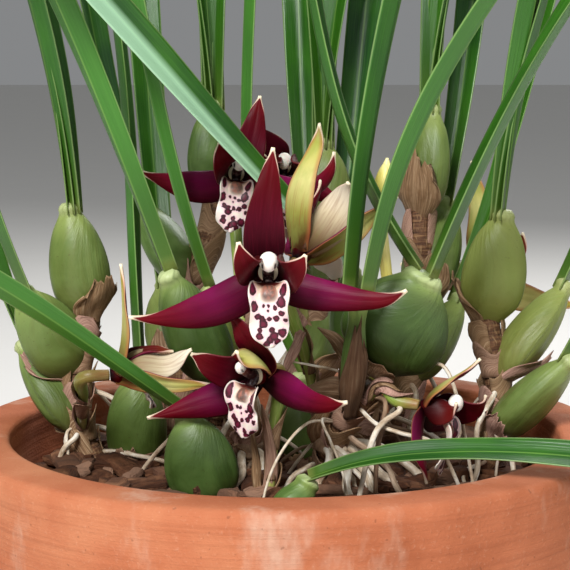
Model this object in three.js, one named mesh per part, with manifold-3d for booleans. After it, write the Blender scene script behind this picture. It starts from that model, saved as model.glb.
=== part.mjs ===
// A potted coconut orchid: a clay pot of bark with climbing rhizomes, flattened pseudobulbs,
// grass-like folded leaves and small dark red flowers with spotted white lips.
// Millimetres, +Z up. The origin is the centre of the pot's underside, and the front faces -Y.
import * as THREE from "three";
import { mergeVertices } from "three/addons/utils/BufferGeometryUtils.js";
import Module from "manifold-3d";

const wasm = await Module();
wasm.setup();

// Driving dimensions
const POT = {
  height: 110,
  footRadius: 42,
  shoulderRadius: 58,
  rimRadius: 65,
  rimDepth: 24,
  wall: 5,
  floor: 7,
  edge: 1.5, // chamfer of the rim's corners
  sides: 22,
};
const UNDER_RIM = POT.height - POT.rimDepth;
const DRAIN = { count: 3, radius: 4.5, ring: 24 };
const BARK = {
  surface: 100.5,
  edge: 2, // how far the bed falls away at the wall
  chips: 4,
  chipLong: 19,
  chipWide: 12,
  chipThick: 5,
  lift: 1.2, // the most that a chip stands above the surface
  tilt: 0.25, // the most that a chip leans, in radians
  seed: 11,
};
const GAP = 0.3; // clearance between pieces that touch
const SLIVER = 0.02; // the finest detail that joining and cutting leave behind
const BLADE = 0.7; // thickness of leaves and flower parts
const LEAF_WIDTH = 9; // a leaf laid flat, edge to edge
const RHIZOME_RADIUS = 2.5;
const STALK_RADIUS = 1.05;
const ROOT_RADIUS = 0.85;
const HOLE_RADIUS = 3.4; // a plain hole in the bark round a rhizome
const CROWN_RADIUS = 4.2; // the knot that a bunch of roots springs from

const COLOURS = {
  clay: [0.62, 0.33, 0.22],
  bark: [0.3, 0.19, 0.12],
  rhizome: [0.36, 0.22, 0.13],
  root: [0.78, 0.72, 0.63],
  bulb: [0.42, 0.52, 0.24],
  leaf: [0.2, 0.38, 0.1],
  stalk: [0.45, 0.5, 0.2],
  petal: [0.38, 0.02, 0.07],
  lip: [0.93, 0.86, 0.82],
  bud: [0.68, 0.66, 0.28],
};
const FINISH = {};
for (const [slot, [r, g, b]] of Object.entries(COLOURS)) {
  FINISH[slot] = new THREE.MeshStandardMaterial({
    color: new THREE.Color(r, g, b),
    roughness: slot === "clay" || slot === "bark" ? 0.9 : 0.5,
    metalness: 0,
  });
}

// Small tools
const vec = (x, y, z) => new THREE.Vector3(x, y, z);
const radians = THREE.MathUtils.degToRad;

// One value on the smooth curve through a row of evenly spaced ones, at u from 0 to 1.
function along(values, u) {
  const last = values.length - 1;
  const i = Math.min(Math.floor(u * last), last - 1);
  const t = u * last - i;
  const [a, b, c, d] = [i - 1, i, i + 1, i + 2].map((k) => values[Math.min(Math.max(k, 0), last)]);
  return b + 0.5 * t * (c - a + t * (2 * a - 5 * b + 4 * c - d + t * (3 * (b - c) + d - a)));
}

// A repeatable row of numbers from 0 to 1.
function dice(seed) {
  let state = seed;
  return () => {
    state = (state * 16807) % 2147483647;
    return state / 2147483647;
  };
}

// A frame that faces `turn` degrees to the right of straight ahead, tilted up and rolled.
function frameAt(at, turn, tilt = 0, roll = 0) {
  const [a, b, c] = [turn, tilt, roll].map(radians);
  const front = vec(Math.sin(a) * Math.cos(b), -Math.cos(a) * Math.cos(b), Math.sin(b));
  const level = vec(0, 0, 1).cross(front).normalize();
  const plumb = front.clone().cross(level);
  const right = level.clone().multiplyScalar(Math.cos(c)).addScaledVector(plumb, Math.sin(c));
  return { at: vec(...at), right, up: front.clone().cross(right), front };
}

function inFrame(frame, x, y, z) {
  return frame.at
    .clone()
    .addScaledVector(frame.right, x)
    .addScaledVector(frame.up, y)
    .addScaledVector(frame.front, z);
}

// Solids
function solidOf(geometry) {
  const bare = geometry.clone();
  bare.deleteAttribute("normal");
  bare.deleteAttribute("uv");
  const merged = mergeVertices(bare, 1e-4);
  const mesh = new wasm.Mesh({
    numProp: 3,
    vertProperties: merged.attributes.position.array,
    triVerts: new Uint32Array(merged.index.array),
  });
  return new wasm.Manifold(mesh);
}

function meshOf(name, slot, solid) {
  const { numProp, numVert, vertProperties, triVerts } = solid.getMesh();
  const position = new Float32Array(numVert * 3);
  for (let i = 0; i < numVert; i++) {
    position.set(vertProperties.subarray(i * numProp, i * numProp + 3), i * 3);
  }
  const geometry = new THREE.BufferGeometry();
  geometry.setAttribute("position", new THREE.BufferAttribute(position, 3));
  geometry.setIndex(new THREE.BufferAttribute(triVerts, 1));
  geometry.computeVertexNormals();
  const mesh = new THREE.Mesh(geometry, FINISH[slot]);
  mesh.name = name;
  return mesh;
}

function joined(solids) {
  return solids.reduce((all, one) => all.add(one));
}

// The largest piece of a solid, without the crumbs that a cut can leave.
function whole(solid) {
  return solid.decompose().sort((a, b) => b.volume() - a.volume())[0].simplify(SLIVER);
}

// A solid with its neighbours' seats cut out of it.
function clearOf(solid, others) {
  return whole(others.reduce((rest, other) => rest.subtract(other), solid));
}

// A closed skin over rings of points that all run the same way round.
function skin(rings, capOf) {
  const n = rings[0].length;
  const points = rings.flat();
  const faces = [];
  for (let r = 0; r + 1 < rings.length; r++) {
    for (let k = 0; k < n; k++) {
      const [a, b] = [r * n + k, r * n + ((k + 1) % n)];
      faces.push(a, b, b + n, a, b + n, a + n);
    }
  }
  for (const [a, b, c] of capOf(n)) {
    const end = (rings.length - 1) * n;
    faces.push(c, b, a, end + a, end + b, end + c);
  }
  const geometry = new THREE.BufferGeometry();
  geometry.setAttribute(
    "position",
    new THREE.BufferAttribute(new Float32Array(points.flatMap((p) => p.toArray())), 3),
  );
  geometry.setIndex(faces);
  const made = solidOf(geometry);
  if (made.volume() > 0) return made;
  geometry.setIndex(faces.reverse());
  return solidOf(geometry);
}

// End caps: a fan across a round ring, and a strip between the two faces of a blade.
const fanCap = (n) => Array.from({ length: n - 2 }, (_, k) => [0, k + 1, k + 2]);
const stripCap = (n) =>
  Array.from({ length: n / 2 - 1 }, (_, k) => [
    [k, k + 1, n - 2 - k],
    [k, n - 2 - k, n - 1 - k],
  ]).flat();

// A round stem along a smooth curve, its radius given along its length.
function stemSolid(points, radii, { sides = 6, steps = 8, grow = 0 } = {}) {
  const curve = new THREE.CatmullRomCurve3(points.map((p) => (p.isVector3 ? p : vec(...p))));
  const { normals, binormals } = curve.computeFrenetFrames(steps, false);
  const rings = [];
  for (let i = 0; i <= steps; i++) {
    const centre = curve.getPointAt(i / steps);
    const radius = along(radii, i / steps) + grow;
    rings.push(
      Array.from({ length: sides }, (_, k) => {
        const angle = (k / sides) * 2 * Math.PI;
        return centre
          .clone()
          .addScaledVector(normals[i], radius * Math.cos(angle))
          .addScaledVector(binormals[i], radius * Math.sin(angle));
      }),
    );
  }
  return skin(rings, fanCap);
}

// The middle line of a blade, and the directions along, across and out of its face. A blade's
// `twist` turns it about that line, in degrees.
function spineOf(blade, frame, rows) {
  const fine = 6;
  const here = frame.at.clone();
  const turnedTo = (u) => {
    const around = radians(along(blade.around, u));
    const rise = radians(along(blade.rise, u));
    const twist = radians(along(blade.twist ?? [0, 0], u));
    const out = frame.right
      .clone()
      .multiplyScalar(Math.cos(around))
      .addScaledVector(frame.up, Math.sin(around));
    const length = out
      .clone()
      .multiplyScalar(Math.cos(rise))
      .addScaledVector(frame.front, Math.sin(rise));
    const level = frame.up
      .clone()
      .multiplyScalar(Math.cos(around))
      .addScaledVector(frame.right, -Math.sin(around));
    const plumb = length.clone().cross(level);
    const across = level.multiplyScalar(Math.cos(twist)).addScaledVector(plumb, Math.sin(twist));
    return { length, across, face: length.clone().cross(across) };
  };
  const spine = [];
  for (let row = 0; row <= rows; row++) {
    const u = row / rows;
    spine.push({ u, point: here.clone(), ...turnedTo(u) });
    for (let k = 0; k < fine && row < rows; k++) {
      const middle = (row + (k + 0.5) / fine) / rows;
      here.addScaledVector(turnedTo(middle).length, blade.length / rows / fine);
    }
  }
  return spine;
}

// A thin blade with a top and an underside. `cup` bends it across its width, in degrees.
function bladeSolid(blade, frame, { rows, grow = 0 }) {
  const thick = BLADE / 2 + grow;
  const rings = spineOf(blade, frame, rows).map(({ u, point, across, face }) => {
    const half = Math.max(along(blade.half, u), 0.25) + grow;
    const cup = radians(along(blade.cup, u)) || 1e-4;
    const place = (v, side) => {
      const normal = face
        .clone()
        .multiplyScalar(Math.cos(cup * v))
        .addScaledVector(across, -Math.sin(cup * v));
      return point
        .clone()
        .addScaledVector(across, (half * Math.sin(cup * v)) / cup)
        .addScaledVector(face, (half * (1 - Math.cos(cup * v))) / cup)
        .addScaledVector(normal, side * thick);
    };
    return [...[-1, 0, 1].map((v) => place(v, 1)), ...[1, 0, -1].map((v) => place(v, -1))];
  });
  return skin(rings, stripCap);
}

// Pot
function cavityRadius(z) {
  const slope = (POT.shoulderRadius - POT.footRadius) / UNDER_RIM;
  return POT.footRadius + slope * Math.min(z, UNDER_RIM) - POT.wall;
}

function turned(outline) {
  const profile = outline.map(([r, z]) => new THREE.Vector2(r, z));
  return solidOf(new THREE.LatheGeometry(profile, POT.sides).rotateX(Math.PI / 2));
}

function potSolid() {
  const mouth = cavityRadius(UNDER_RIM) + POT.edge;
  const shell = turned([
    [0, 0],
    [POT.footRadius - 1, 0],
    [POT.footRadius, 1],
    [POT.shoulderRadius, UNDER_RIM],
    [POT.rimRadius - POT.edge, UNDER_RIM + POT.edge],
    [POT.rimRadius, POT.height - POT.edge],
    [POT.rimRadius - POT.edge, POT.height],
    [mouth + POT.edge, POT.height],
    [mouth, POT.height - POT.edge],
    [cavityRadius(UNDER_RIM), UNDER_RIM],
    [cavityRadius(POT.floor), POT.floor],
    [0, POT.floor],
  ]);
  const holes = Array.from({ length: DRAIN.count }, (_, k) => {
    const angle = ((k + 0.25) / DRAIN.count) * 2 * Math.PI;
    const hole = new THREE.CylinderGeometry(DRAIN.radius, DRAIN.radius, 3 * POT.floor, 8);
    hole.rotateX(Math.PI / 2);
    hole.translate(DRAIN.ring * Math.cos(angle), DRAIN.ring * Math.sin(angle), 0);
    return solidOf(hole);
  });
  return holes.reduce((pot, hole) => pot.subtract(hole), shell);
}

// Bark that fills the pot, with loose chips standing out of its top
function barkSolid() {
  const low = POT.floor + GAP;
  const reach = cavityRadius(UNDER_RIM) - GAP;
  const bed = turned([
    [0, low],
    [cavityRadius(low) - GAP, low],
    [reach, UNDER_RIM],
    [reach, BARK.surface - BARK.edge],
    [reach - BARK.edge, BARK.surface],
    [0, BARK.surface + BARK.edge],
  ]);
  const roll = dice(BARK.seed);
  const golden = Math.PI * (3 - Math.sqrt(5));
  const chips = Array.from({ length: BARK.chips }, (_, k) => {
    const out = (reach - 0.62 * BARK.chipLong) * Math.sqrt((k + 0.5) / BARK.chips);
    const size = 0.7 + 0.5 * roll();
    const chip = new THREE.BoxGeometry(BARK.chipLong * size, BARK.chipWide * size, BARK.chipThick);
    chip.rotateX(BARK.tilt * (2 * roll() - 1));
    chip.rotateY(BARK.tilt * (2 * roll() - 1));
    chip.rotateZ(2 * Math.PI * roll());
    const height = BARK.surface + BARK.lift * roll();
    chip.translate(out * Math.cos(k * golden), out * Math.sin(k * golden), height);
    return solidOf(chip);
  });
  return joined([bed, ...chips]);
}

// Pseudobulbs: flattened eggs with a narrow foot and a neck that carries the leaf
const BULB_OUTLINE = [0.4, 0.88, 1, 0.93, 0.7, 0.3];

function bulbSolid({ foot, tip, wide, deep, face = -90, neck = 0.3, sides = 8, rows = 5 }, grow = 0) {
  const [low, high] = [vec(...foot), vec(...tip)];
  const axis = high.clone().sub(low).normalize();
  const out = vec(Math.cos(radians(face)), Math.sin(radians(face)), 0);
  const side = axis.clone().cross(out).normalize();
  const front = side.clone().cross(axis);
  const rings = [];
  for (let row = 0; row <= rows; row++) {
    const t = row / rows;
    const swell = along([...BULB_OUTLINE.slice(0, -1), neck], t);
    const level = vec(0, 0, 0).lerpVectors(low, high, t).addScaledVector(axis, grow * (2 * t - 1));
    rings.push(
      Array.from({ length: sides }, (_, k) => {
        const angle = ((k + 0.5) / sides) * 2 * Math.PI;
        return level
          .clone()
          .addScaledVector(side, ((wide / 2) * swell + grow) * Math.cos(angle))
          .addScaledVector(front, ((deep / 2) * Math.max(swell, 0.42) + grow) * Math.sin(angle));
      }),
    );
  }
  return skin(rings, fanCap);
}

// Leaves: narrow blades folded along the keel, tight at the base and opening further up
const LEAF_HALF = [0.66, 0.84, 0.96, 1, 0.97, 0.86, 0.62, 0.1];
const LEAF_FOLD = [72, 60, 48, 40, 36, 34, 32, 30];

// `toward` is the compass bearing that a leaf leans to, counted from +X, and `lean` its angle from
// upright along its length.
function leafBlade({ length, lean, twist, width = LEAF_WIDTH }) {
  return {
    length,
    around: [90, 90],
    rise: lean.map((angle) => -angle),
    twist,
    half: LEAF_HALF.map((share) => (share * width) / 2),
    cup: LEAF_FOLD,
  };
}

function leafSolid(at, leaf, options = {}) {
  const frame = frameAt(at, leaf.toward - 90);
  return bladeSolid(leafBlade(leaf), frame, { rows: 7, ...options });
}

// Where a leaf starts: a little above the neck that carries it, or sunk into it.
const LEAF_CLEAR = 0.65;
const LEAF_SUNK = -1.25;

function leafFoot({ foot, tip }, above, offset = [0, 0, 0]) {
  const [low, high] = [vec(...foot), vec(...tip)];
  const axis = high.clone().sub(low).normalize();
  return high.addScaledVector(axis, above).add(vec(...offset)).toArray();
}

// Rhizomes that climb out of the bark
const RHIZOMES = {
  left: [[-5, -2, 95], [-6.5, -2.5, 105], [-8.5, -4, 113], [-12.8, -7, 120]],
  right: [[6, -1, 95], [8.5, -5.5, 105], [11, -10, 113], [16.6, -12.2, 120.5]],
  middle: [[-12, 4, 95], [-13, 4, 104], [-13, 3.5, 112], [-12, 2.5, 119]],
  inner: [[15, 6, 95], [16, 7, 105], [16, 7.5, 113], [15.2, 7.5, 121]],
};

// Bract scars make the rhizome knobbly.
function rhizomeSolid(points, grow = 0) {
  const rings = [1, 1.2, 0.94, 1.2, 0.94, 1.22, 1.1].map((share) => share * RHIZOME_RADIUS);
  return stemSolid(points, rings, { steps: rings.length - 1, grow });
}

// The growths that stand at the front: each a pseudobulb with its leaf or two
const GROWTHS = {
  left: {
    foot: [-13, -7.4, 120.4],
    tip: [-22.4, -12, 142.2],
    wide: 12.5,
    deep: 9.5,
    leaves: [
      { toward: 184, length: 215, lean: [20, 22, 28, 38, 49, 61], width: 7.8, twist: [50, 45, 30, 15] },
    ],
  },
  right: {
    foot: [17, -12.2, 124.2],
    tip: [26.4, -14.5, 142.2],
    wide: 21.5,
    deep: 12,
    neck: 0.34,
    leaves: [
      { toward: 170, length: 225, lean: [35, 13, 7, 10, 19, 30], offset: [-1.7, 0.4, 0.5] },
      { toward: 4, length: 190, lean: [22, 28, 38, 52, 64, 78], offset: [1.8, -0.6, -0.7], width: 10.5 },
    ],
  },
  low_left: {
    foot: [-14, -17, 98],
    tip: [-18.6, -18.2, 116.2],
    wide: 14.5,
    deep: 9,
    leaves: [
      { toward: 215, length: 130, lean: [54, 54, 59, 69, 84, 98], width: 5, twist: [60, 60, 40] },
    ],
  },
  far_left: {
    foot: [-31, 12, 98],
    tip: [-30.5, 10, 119],
    wide: 13,
    deep: 10,
    leaves: [{ toward: 176, length: 205, lean: [3, 2, 10, 24, 42, 62] }],
  },
  low_middle: {
    foot: [4, 10, 98],
    tip: [3.4, 11, 118],
    wide: 14,
    deep: 9,
    leaves: [
      { toward: 160, length: 230, lean: [30, 2, -2, 6, 18, 32], width: 7, twist: [40, 30, 20] },
    ],
  },
  young: {
    foot: [12.4, -14.6, 116.4],
    tip: [13.7, -23.6, 139.3],
    wide: 4.8,
    deep: 4.8,
    neck: 0.9,
    leaves: [
      { toward: -17, length: 235, lean: [4, 12, 18, 24, 29, 35], offset: [-0.8, 1.2, 0.2], width: 10.5 },
      { toward: -27, length: 215, lean: [10, 30, 43, 53, 61, 68], offset: [2.3, -0.8, 0] },
    ],
  },
  slim: {
    foot: [-12.4, 2.2, 118.8],
    tip: [-15.4, 0.5, 137.4],
    wide: 8.5,
    deep: 6.4,
    leaves: [{ toward: 216, length: 205, lean: [22, 14, 15, 22, 32, 43], width: 6.6 }],
  },
  inner: {
    foot: [15.2, 7.4, 121],
    tip: [13.4, 7, 140.6],
    wide: 11,
    deep: 8,
    leaves: [
      { toward: 214, length: 205, lean: [51, 45, 46, 50, 57, 64], width: 8.6, twist: [-60, -70, -70, -50] },
    ],
  },
  front: {
    foot: [-1, -31, 98],
    tip: [4.2, -29.6, 106],
    wide: 8,
    deep: 7,
    neck: 0.5,
    leaves: [
      { toward: -18, length: 105, lean: [66, 81, 89, 96, 104, 110], width: 6.8, twist: [30, 30, 25] },
    ],
  },
};

// Leafy stems round the sides and back: a climbing rhizome with its bulbs and leaves grown into one
// piece. `fan` is the range of bearings that the leaves lean to.
const STEMS = {
  side_left: {
    seed: 6,
    fan: [150, 212],
    path: [[-36, 8, 95], [-42, 11, 106], [-43, 13, 118], [-41, 15, 130]],
  },
  back_left: {
    seed: 17,
    fan: [108, 152],
    path: [[-21, 19, 95], [-23, 25, 112], [-20, 32, 132], [-14, 38, 152]],
  },
  back: {
    seed: 29,
    fan: [66, 112],
    path: [[1, 22, 95], [4, 29, 112], [6, 37, 128], [8, 44, 144]],
  },
  back_right: {
    seed: 41,
    fan: [24, 70],
    path: [[22, 18, 95], [26, 23, 112], [29, 28, 130], [29, 34, 150]],
  },
  side_right: {
    seed: 53,
    fan: [-30, 26],
    path: [[37, 2, 95], [42, 4, 106], [43, 7, 118], [41, 10, 130]],
  },
};
const STEM_BULBS = 3;
const LOWEST_BULB = 0.36; // its share of the way up a leafy stem

// The growths of a leafy stem, placed by rule: alternate sides, leaning out, the last one upright.
function growthsOf({ seed, fan, path }) {
  const roll = dice(seed);
  const curve = new THREE.CatmullRomCurve3(path.map((p) => vec(...p)));
  return Array.from({ length: STEM_BULBS }, (_, k) => {
    const last = k === STEM_BULBS - 1;
    const toward = fan[0] + (fan[1] - fan[0]) * ((k * 0.618 + 0.3 * roll()) % 1);
    const lean = last ? 8 : 30 + 14 * roll();
    const out = frameAt([0, 0, 0], toward + 90).front;
    const sprout = curve.getPointAt(LOWEST_BULB + ((0.98 - LOWEST_BULB) * k) / (STEM_BULBS - 1));
    const axis = vec(0, 0, Math.cos(radians(lean))).addScaledVector(out, Math.sin(radians(lean)));
    const growth = {
      foot: sprout.toArray(),
      tip: sprout.clone().addScaledVector(axis, 24 - 3 * roll()).toArray(),
      wide: 14 - 2 * roll(),
      deep: 9,
      face: toward + 90 * Math.round(2 * roll()),
    };
    const leafTo = (bearing) => ({
      toward: bearing,
      length: 190 + 60 * roll(),
      lean: [lean * 0.7, 14, 18, 26 + 8 * roll(), 40, 56 + 14 * roll()],
      twist: [0, 80 * roll() - 40, 80 * roll() - 40],
    });
    growth.leaves = (last ? [toward - 32, toward, toward + 32] : [toward]).map(leafTo);
    return growth;
  });
}

function leafyStemSolid(stem, seats, grow = 0) {
  const growths = growthsOf(stem);
  const bulbs = growths.map((growth) => bulbSolid({ ...growth, sides: 6, rows: 4 }, grow));
  const stemAndBulbs = clearOf(joined([rhizomeSolid(stem.path, grow), ...bulbs]), seats);
  const leaves = growths.flatMap((growth) =>
    growth.leaves.map((leaf) => leafSolid(leafFoot(growth, LEAF_SUNK), leaf, { rows: 4, grow })),
  );
  return joined([stemAndBulbs, ...leaves]).simplify(SLIVER);
}

// Roots: a bunch springs from a crown round a rhizome and runs down into the bark
const ROOTS = {
  left: {
    on: ["left", 0.42],
    ends: [[-12, -24, 98], [-2, -20, 98], [-6, 12, 98], [-20, 1, 98]],
  },
  right: {
    on: ["right", 0.5],
    ends: [[28, -22, 98], [14, -29, 98], [31, -5, 98], [21, -28, 98], [6, -20, 98]],
  },
};

function rootsSolid({ on, ends }, grow = 0) {
  const crown = placeOn(on);
  const knot = new THREE.SphereGeometry(CROWN_RADIUS + grow, 6, 4).rotateX(Math.PI / 2).scale(1, 1, 0.6);
  knot.translate(...crown.toArray());
  const roots = ends.map((end, k) => {
    const foot = vec(...end);
    const middle = crown.clone().lerp(foot, 0.55).add(vec(0, 0, 2 + (k % 3)));
    return stemSolid([crown, middle, foot], [ROOT_RADIUS, ROOT_RADIUS], { sides: 4, steps: 3, grow });
  });
  return joined([solidOf(knot), ...roots]);
}

// A point on a named rhizome or leafy stem, at a share of its length.
function placeOn([name, share]) {
  const path = RHIZOMES[name] ?? STEMS[name].path;
  return new THREE.CatmullRomCurve3(path.map((p) => vec(...p))).getPointAt(share);
}

// Flower parts, in a frame whose front faces out of the throat. `around` is the bearing round the
// throat, `rise` the lean towards the front, `half` the half width and `cup` the bend across.
// `out` and `ahead` say where a part starts, from the middle of the throat.
const TEPALS = {
  dorsal: {
    out: 1,
    ahead: -0.8,
    length: 22,
    around: [100, 91, 84, 82, 84],
    rise: [26, 12, 4, 0, -4],
    half: [2.6, 3.8, 3.7, 3.1, 2.3, 1.4, 0.25],
    cup: [34, 20, 10, 0, -10],
  },
  left: {
    out: 1,
    ahead: -0.8,
    length: 26.9,
    around: [224, 212, 199, 191, 182, 170],
    rise: [8, 14, 16, 12, 4],
    half: [2.2, 3.6, 3.8, 3.3, 2.2, 1, 0.25],
    cup: [-20, -34, -36, -30, -20],
  },
  right: {
    out: 1,
    ahead: -0.8,
    length: 26,
    around: [-40, -19, -8, -6, 5, 36],
    rise: [8, 14, 16, 12, 4],
    half: [2.2, 3.3, 3.2, 2.7, 2, 1.3, 0.25],
    cup: [-20, -34, -36, -30, -20],
  },
  petalLeft: {
    out: 2,
    ahead: -0.2,
    length: 14.8,
    around: [178, 163, 143, 120, 98],
    rise: [70, 83, 80, 32, -10],
    half: [1.5, 3.2, 3.7, 3.1, 1.9, 0.3],
    cup: [0, 8, 18, 22, 10],
  },
  petalRight: {
    out: 2,
    ahead: -0.2,
    length: 13.4,
    around: [-6, 10, 28, 46, 64],
    rise: [64, 76, 84, 40, -10],
    half: [1.5, 3.2, 3.7, 3.1, 1.9, 0.3],
    cup: [0, 8, 18, 22, 10],
  },
};
const LIP = {
  length: 12.4,
  around: [-90, -88],
  rise: [58, 36, 8, 0, -4, -8, -20],
  half: [1.4, 3.2, 4.2, 3.4, 3.5, 3.6, 3, 0.8],
  cup: [20, 52, 44, 4, -16, -24, -26],
};
const RECEPTACLE = { radius: 2, neck: 1.3, back: 1.8, front: 1 };
const COLUMN = {
  foot: [0, -2, 2.7],
  base: [0, 0, 1.35],
  bend: [0, 0.8, 3.2],
  top: [0, 2, 5.4],
  radius: 1,
};
const ANTHER_CAP_RADIUS = 1.35;

// Each flower: where its throat is, how it faces, and what its stalk grows from. `shut` is how many
// degrees its sepals are still short of open, and `changes` are parts that it holds in its own way.
const FLOWERS = {
  a: {
    at: [-3.1, -30, 145.4],
    turn: 2,
    tilt: 5,
    size: 1,
    on: ["left", 0.78],
    changes: {
      petalLeft: { out: 2.4, around: [174, 156, 134, 114, 98], half: [1.4, 2.8, 3.1, 2.7, 1.7, 0.3] },
    },
  },
  b: {
    at: [-9.9, 8, 160.2],
    turn: 8,
    tilt: 10,
    roll: -8,
    size: 0.9,
    on: ["left", 0.5],
    changes: {
      dorsal: { length: 17.7, around: [66, 84, 86] },
      left: { length: 22.8, around: [227, 199, 184, 178, 169, 164] },
      right: { length: 29.2, around: [-18, -8, 4, 28, 62, 94], rise: [4, 8, -16, -30, 0] },
      lip: { around: [-91, -95] },
    },
  },
  c: {
    at: [-0.5, 28, 160.4],
    turn: 4,
    tilt: -6,
    size: 0.95,
    on: ["back", 0.52],
    changes: {
      dorsal: { length: 12.5, around: [126, 136, 142] },
      left: { length: 16 },
      right: { length: 15, around: [-40, -34, -28, -20] },
    },
  },
  d: {
    at: [3.3, -12, 146.6],
    turn: 135,
    tilt: 44,
    roll: 14,
    shut: 30,
    size: 1,
    on: ["right", 0.4],
    changes: {
      dorsal: { length: 26, around: [60, 73, 87, 99], rise: [19, 21, 35, 41, -16] },
      left: { length: 22, around: [200, 190, 182, 176, 170], rise: [24, 34, 38, 34, 28] },
      right: { length: 28, around: [-57, -32, -6, 19], rise: [-9, 15, 30, 55, 30] },
      petalLeft: { length: 18, around: [152, 140, 126, 114, 106], half: [1.6, 3, 3.9, 3.7, 2.4, 0.3] },
    },
  },
  e: {
    at: [-5, -25.5, 125.5],
    turn: -36,
    tilt: 2,
    roll: 7,
    size: 0.95,
    foot: [-3.4, -21.5, 96],
    changes: {
      dorsal: { length: 16, around: [56, 99, 144], rise: [8, 50, 44, 2, -11] },
      left: { length: 24.6, around: [215, 204, 195, 194, 193, 189], rise: [8, 18, 26, 26, 18] },
      right: { length: 24.1, around: [-27, -22, -17, -10, 1, 13] },
      petalLeft: { length: 14.1, around: [155, 148, 144, 143, 145], rise: [65, 85, 55, 26, 20] },
      petalRight: { length: 15, around: [42, 48, 53, 56, 59], rise: [55, 58, 74, 92, 8] },
      lip: { length: 10.8, around: [-104, -94] },
    },
  },
  f: {
    at: [-31.8, -14.3, 123.5],
    turn: 101,
    tilt: 3,
    roll: 4,
    shut: 30,
    size: 0.95,
    on: ["side_left", 0.36],
    changes: {
      dorsal: { rise: [-4, -18, -26, -30, -34] },
      left: {
        length: 20.9,
        around: [191, 191, 190, 187, 183],
        rise: [44, 26, 30, 50, 30],
        half: [1.6, 2.4, 2.4, 2, 1.5, 0.8, 0.25],
      },
      right: {
        length: 13,
        around: [88, 96, 102, 104],
        rise: [20, 34, 60, 76],
        half: [1.8, 2.6, 2.5, 2, 1.5, 0.9, 0.25],
      },
      petalLeft: { length: 16.5, around: [140, 134, 128, 123, 119], rise: [46, 84, 106, 50, 50] },
      petalRight: { length: 8 },
      lip: { length: 7, rise: [62, 46, 40, 38, 34, 30, 20] },
    },
  },
  g: {
    at: [27.2, -20.5, 118.3],
    turn: 70,
    tilt: -8,
    size: 0.92,
    on: ["right", 0.82],
    via: [18.6, -16.6, 121.4],
    changes: {
      dorsal: { length: 15, around: [96, 88, 84], rise: [26, 42, 50, 44, 30] },
      left: { length: 15.5, around: [236, 256, 272, 284], rise: [0, 10, 18, 16, 8] },
      petalLeft: { length: 9, half: [1, 2.4, 2.8, 2.2, 1.2, 0.3] },
    },
  },
  h: { at: [42, 40, 138], turn: 138, tilt: 6, size: 1, on: ["back_right", 0.52] },
};

const faceOf = ({ at, turn, tilt, roll = 0 }) => frameAt(at, turn, tilt, roll);

function perianthSolid(flower) {
  const { size, shut = 0, changes = {} } = flower;
  const frame = faceOf(flower);
  const at = (x, y, z) => inFrame(frame, x * size, y * size, z * size);
  const receptacle = stemSolid(
    [at(0, 0, -RECEPTACLE.back), at(0, 0, 0), at(0, 0, RECEPTACLE.front)],
    [RECEPTACLE.neck, RECEPTACLE.radius, RECEPTACLE.radius].map((r) => r * size),
    { sides: 5, steps: 2 },
  );
  const blades = Object.entries(TEPALS).map(([name, usual]) => {
    const part = { ...usual, ...changes[name] };
    const closing = name.startsWith("petal") ? 0 : shut;
    const bearing = radians(part.around[0]);
    const start = at(part.out * Math.cos(bearing), part.out * Math.sin(bearing), part.ahead);
    const blade = {
      ...part,
      length: part.length * size,
      half: part.half.map((w) => w * size),
      rise: part.rise.map((angle) => angle + closing),
    };
    return bladeSolid(blade, { ...frame, at: start }, { rows: 4 });
  });
  return whole(joined([receptacle, ...blades]));
}

// The lip hangs from the foot of the column, whose top carries the white cap.
function lipColumnSolid(flower) {
  const { size, changes = {} } = flower;
  const frame = faceOf(flower);
  const at = (point) => inFrame(frame, ...point.map((c) => c * size));
  const shape = { ...LIP, ...changes.lip };
  const blade = { ...shape, length: shape.length * size, half: shape.half.map((w) => w * size) };
  const lip = bladeSolid(blade, { ...frame, at: at(COLUMN.foot) }, { rows: 7 });
  const reach = COLUMN.radius * size;
  const column = stemSolid(
    [COLUMN.foot, COLUMN.base, COLUMN.bend, COLUMN.top].map(at),
    [reach * 0.8, reach],
    { sides: 4, steps: 4 },
  );
  const cap = new THREE.IcosahedronGeometry(ANTHER_CAP_RADIUS * size);
  cap.translate(...at(COLUMN.top).toArray());
  return joined([lip, column, solidOf(cap)]);
}

// A flower's stalk and seed pod, up to just behind the receptacle.
function stalkSolid(flower, grow = 0) {
  const { size } = flower;
  const frame = faceOf(flower);
  const end = inFrame(frame, 0, 0, -(RECEPTACLE.back * size + GAP));
  const pod = inFrame(frame, 0, 0, -7 * size);
  const foot = flower.foot ? vec(...flower.foot) : placeOn(flower.on);
  const middle = flower.via ? vec(...flower.via) : foot.clone().lerp(pod, 0.55).add(vec(0, 0, 1.5));
  const path = [foot, foot.clone().lerp(middle, 0.5), middle, pod, end];
  const radii = [STALK_RADIUS, STALK_RADIUS, STALK_RADIUS, 1.4 * size, 1.15 * size];
  return stemSolid(path, radii, { sides: 5, steps: 5, grow });
}

// A flower bud on its stalk
const BUD = {
  at: [18.8, 0, 153.5],
  tip: [20.1, 0, 164],
  via: [20.6, 1, 128],
  radius: 2.3,
  on: ["inner", 0.7],
};

function budSolid(grow = 0) {
  const low = vec(...BUD.at);
  const stalk = stemSolid([placeOn(BUD.on), vec(...BUD.via), low], [STALK_RADIUS, 1.2], {
    sides: 5,
    steps: 5,
    grow,
  });
  const swell = [0.5, 0.95, 1, 0.7, 0.12].map((share) => share * BUD.radius);
  return joined([stalk, stemSolid([low, vec(...BUD.tip)], swell, { steps: 5, grow })]);
}

// The finished group
const plant = new THREE.Group();
const add = (name, slot, solid) => plant.add(meshOf(name, slot, solid));
const growths = Object.entries(GROWTHS);
const flowers = Object.entries(FLOWERS);

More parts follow.
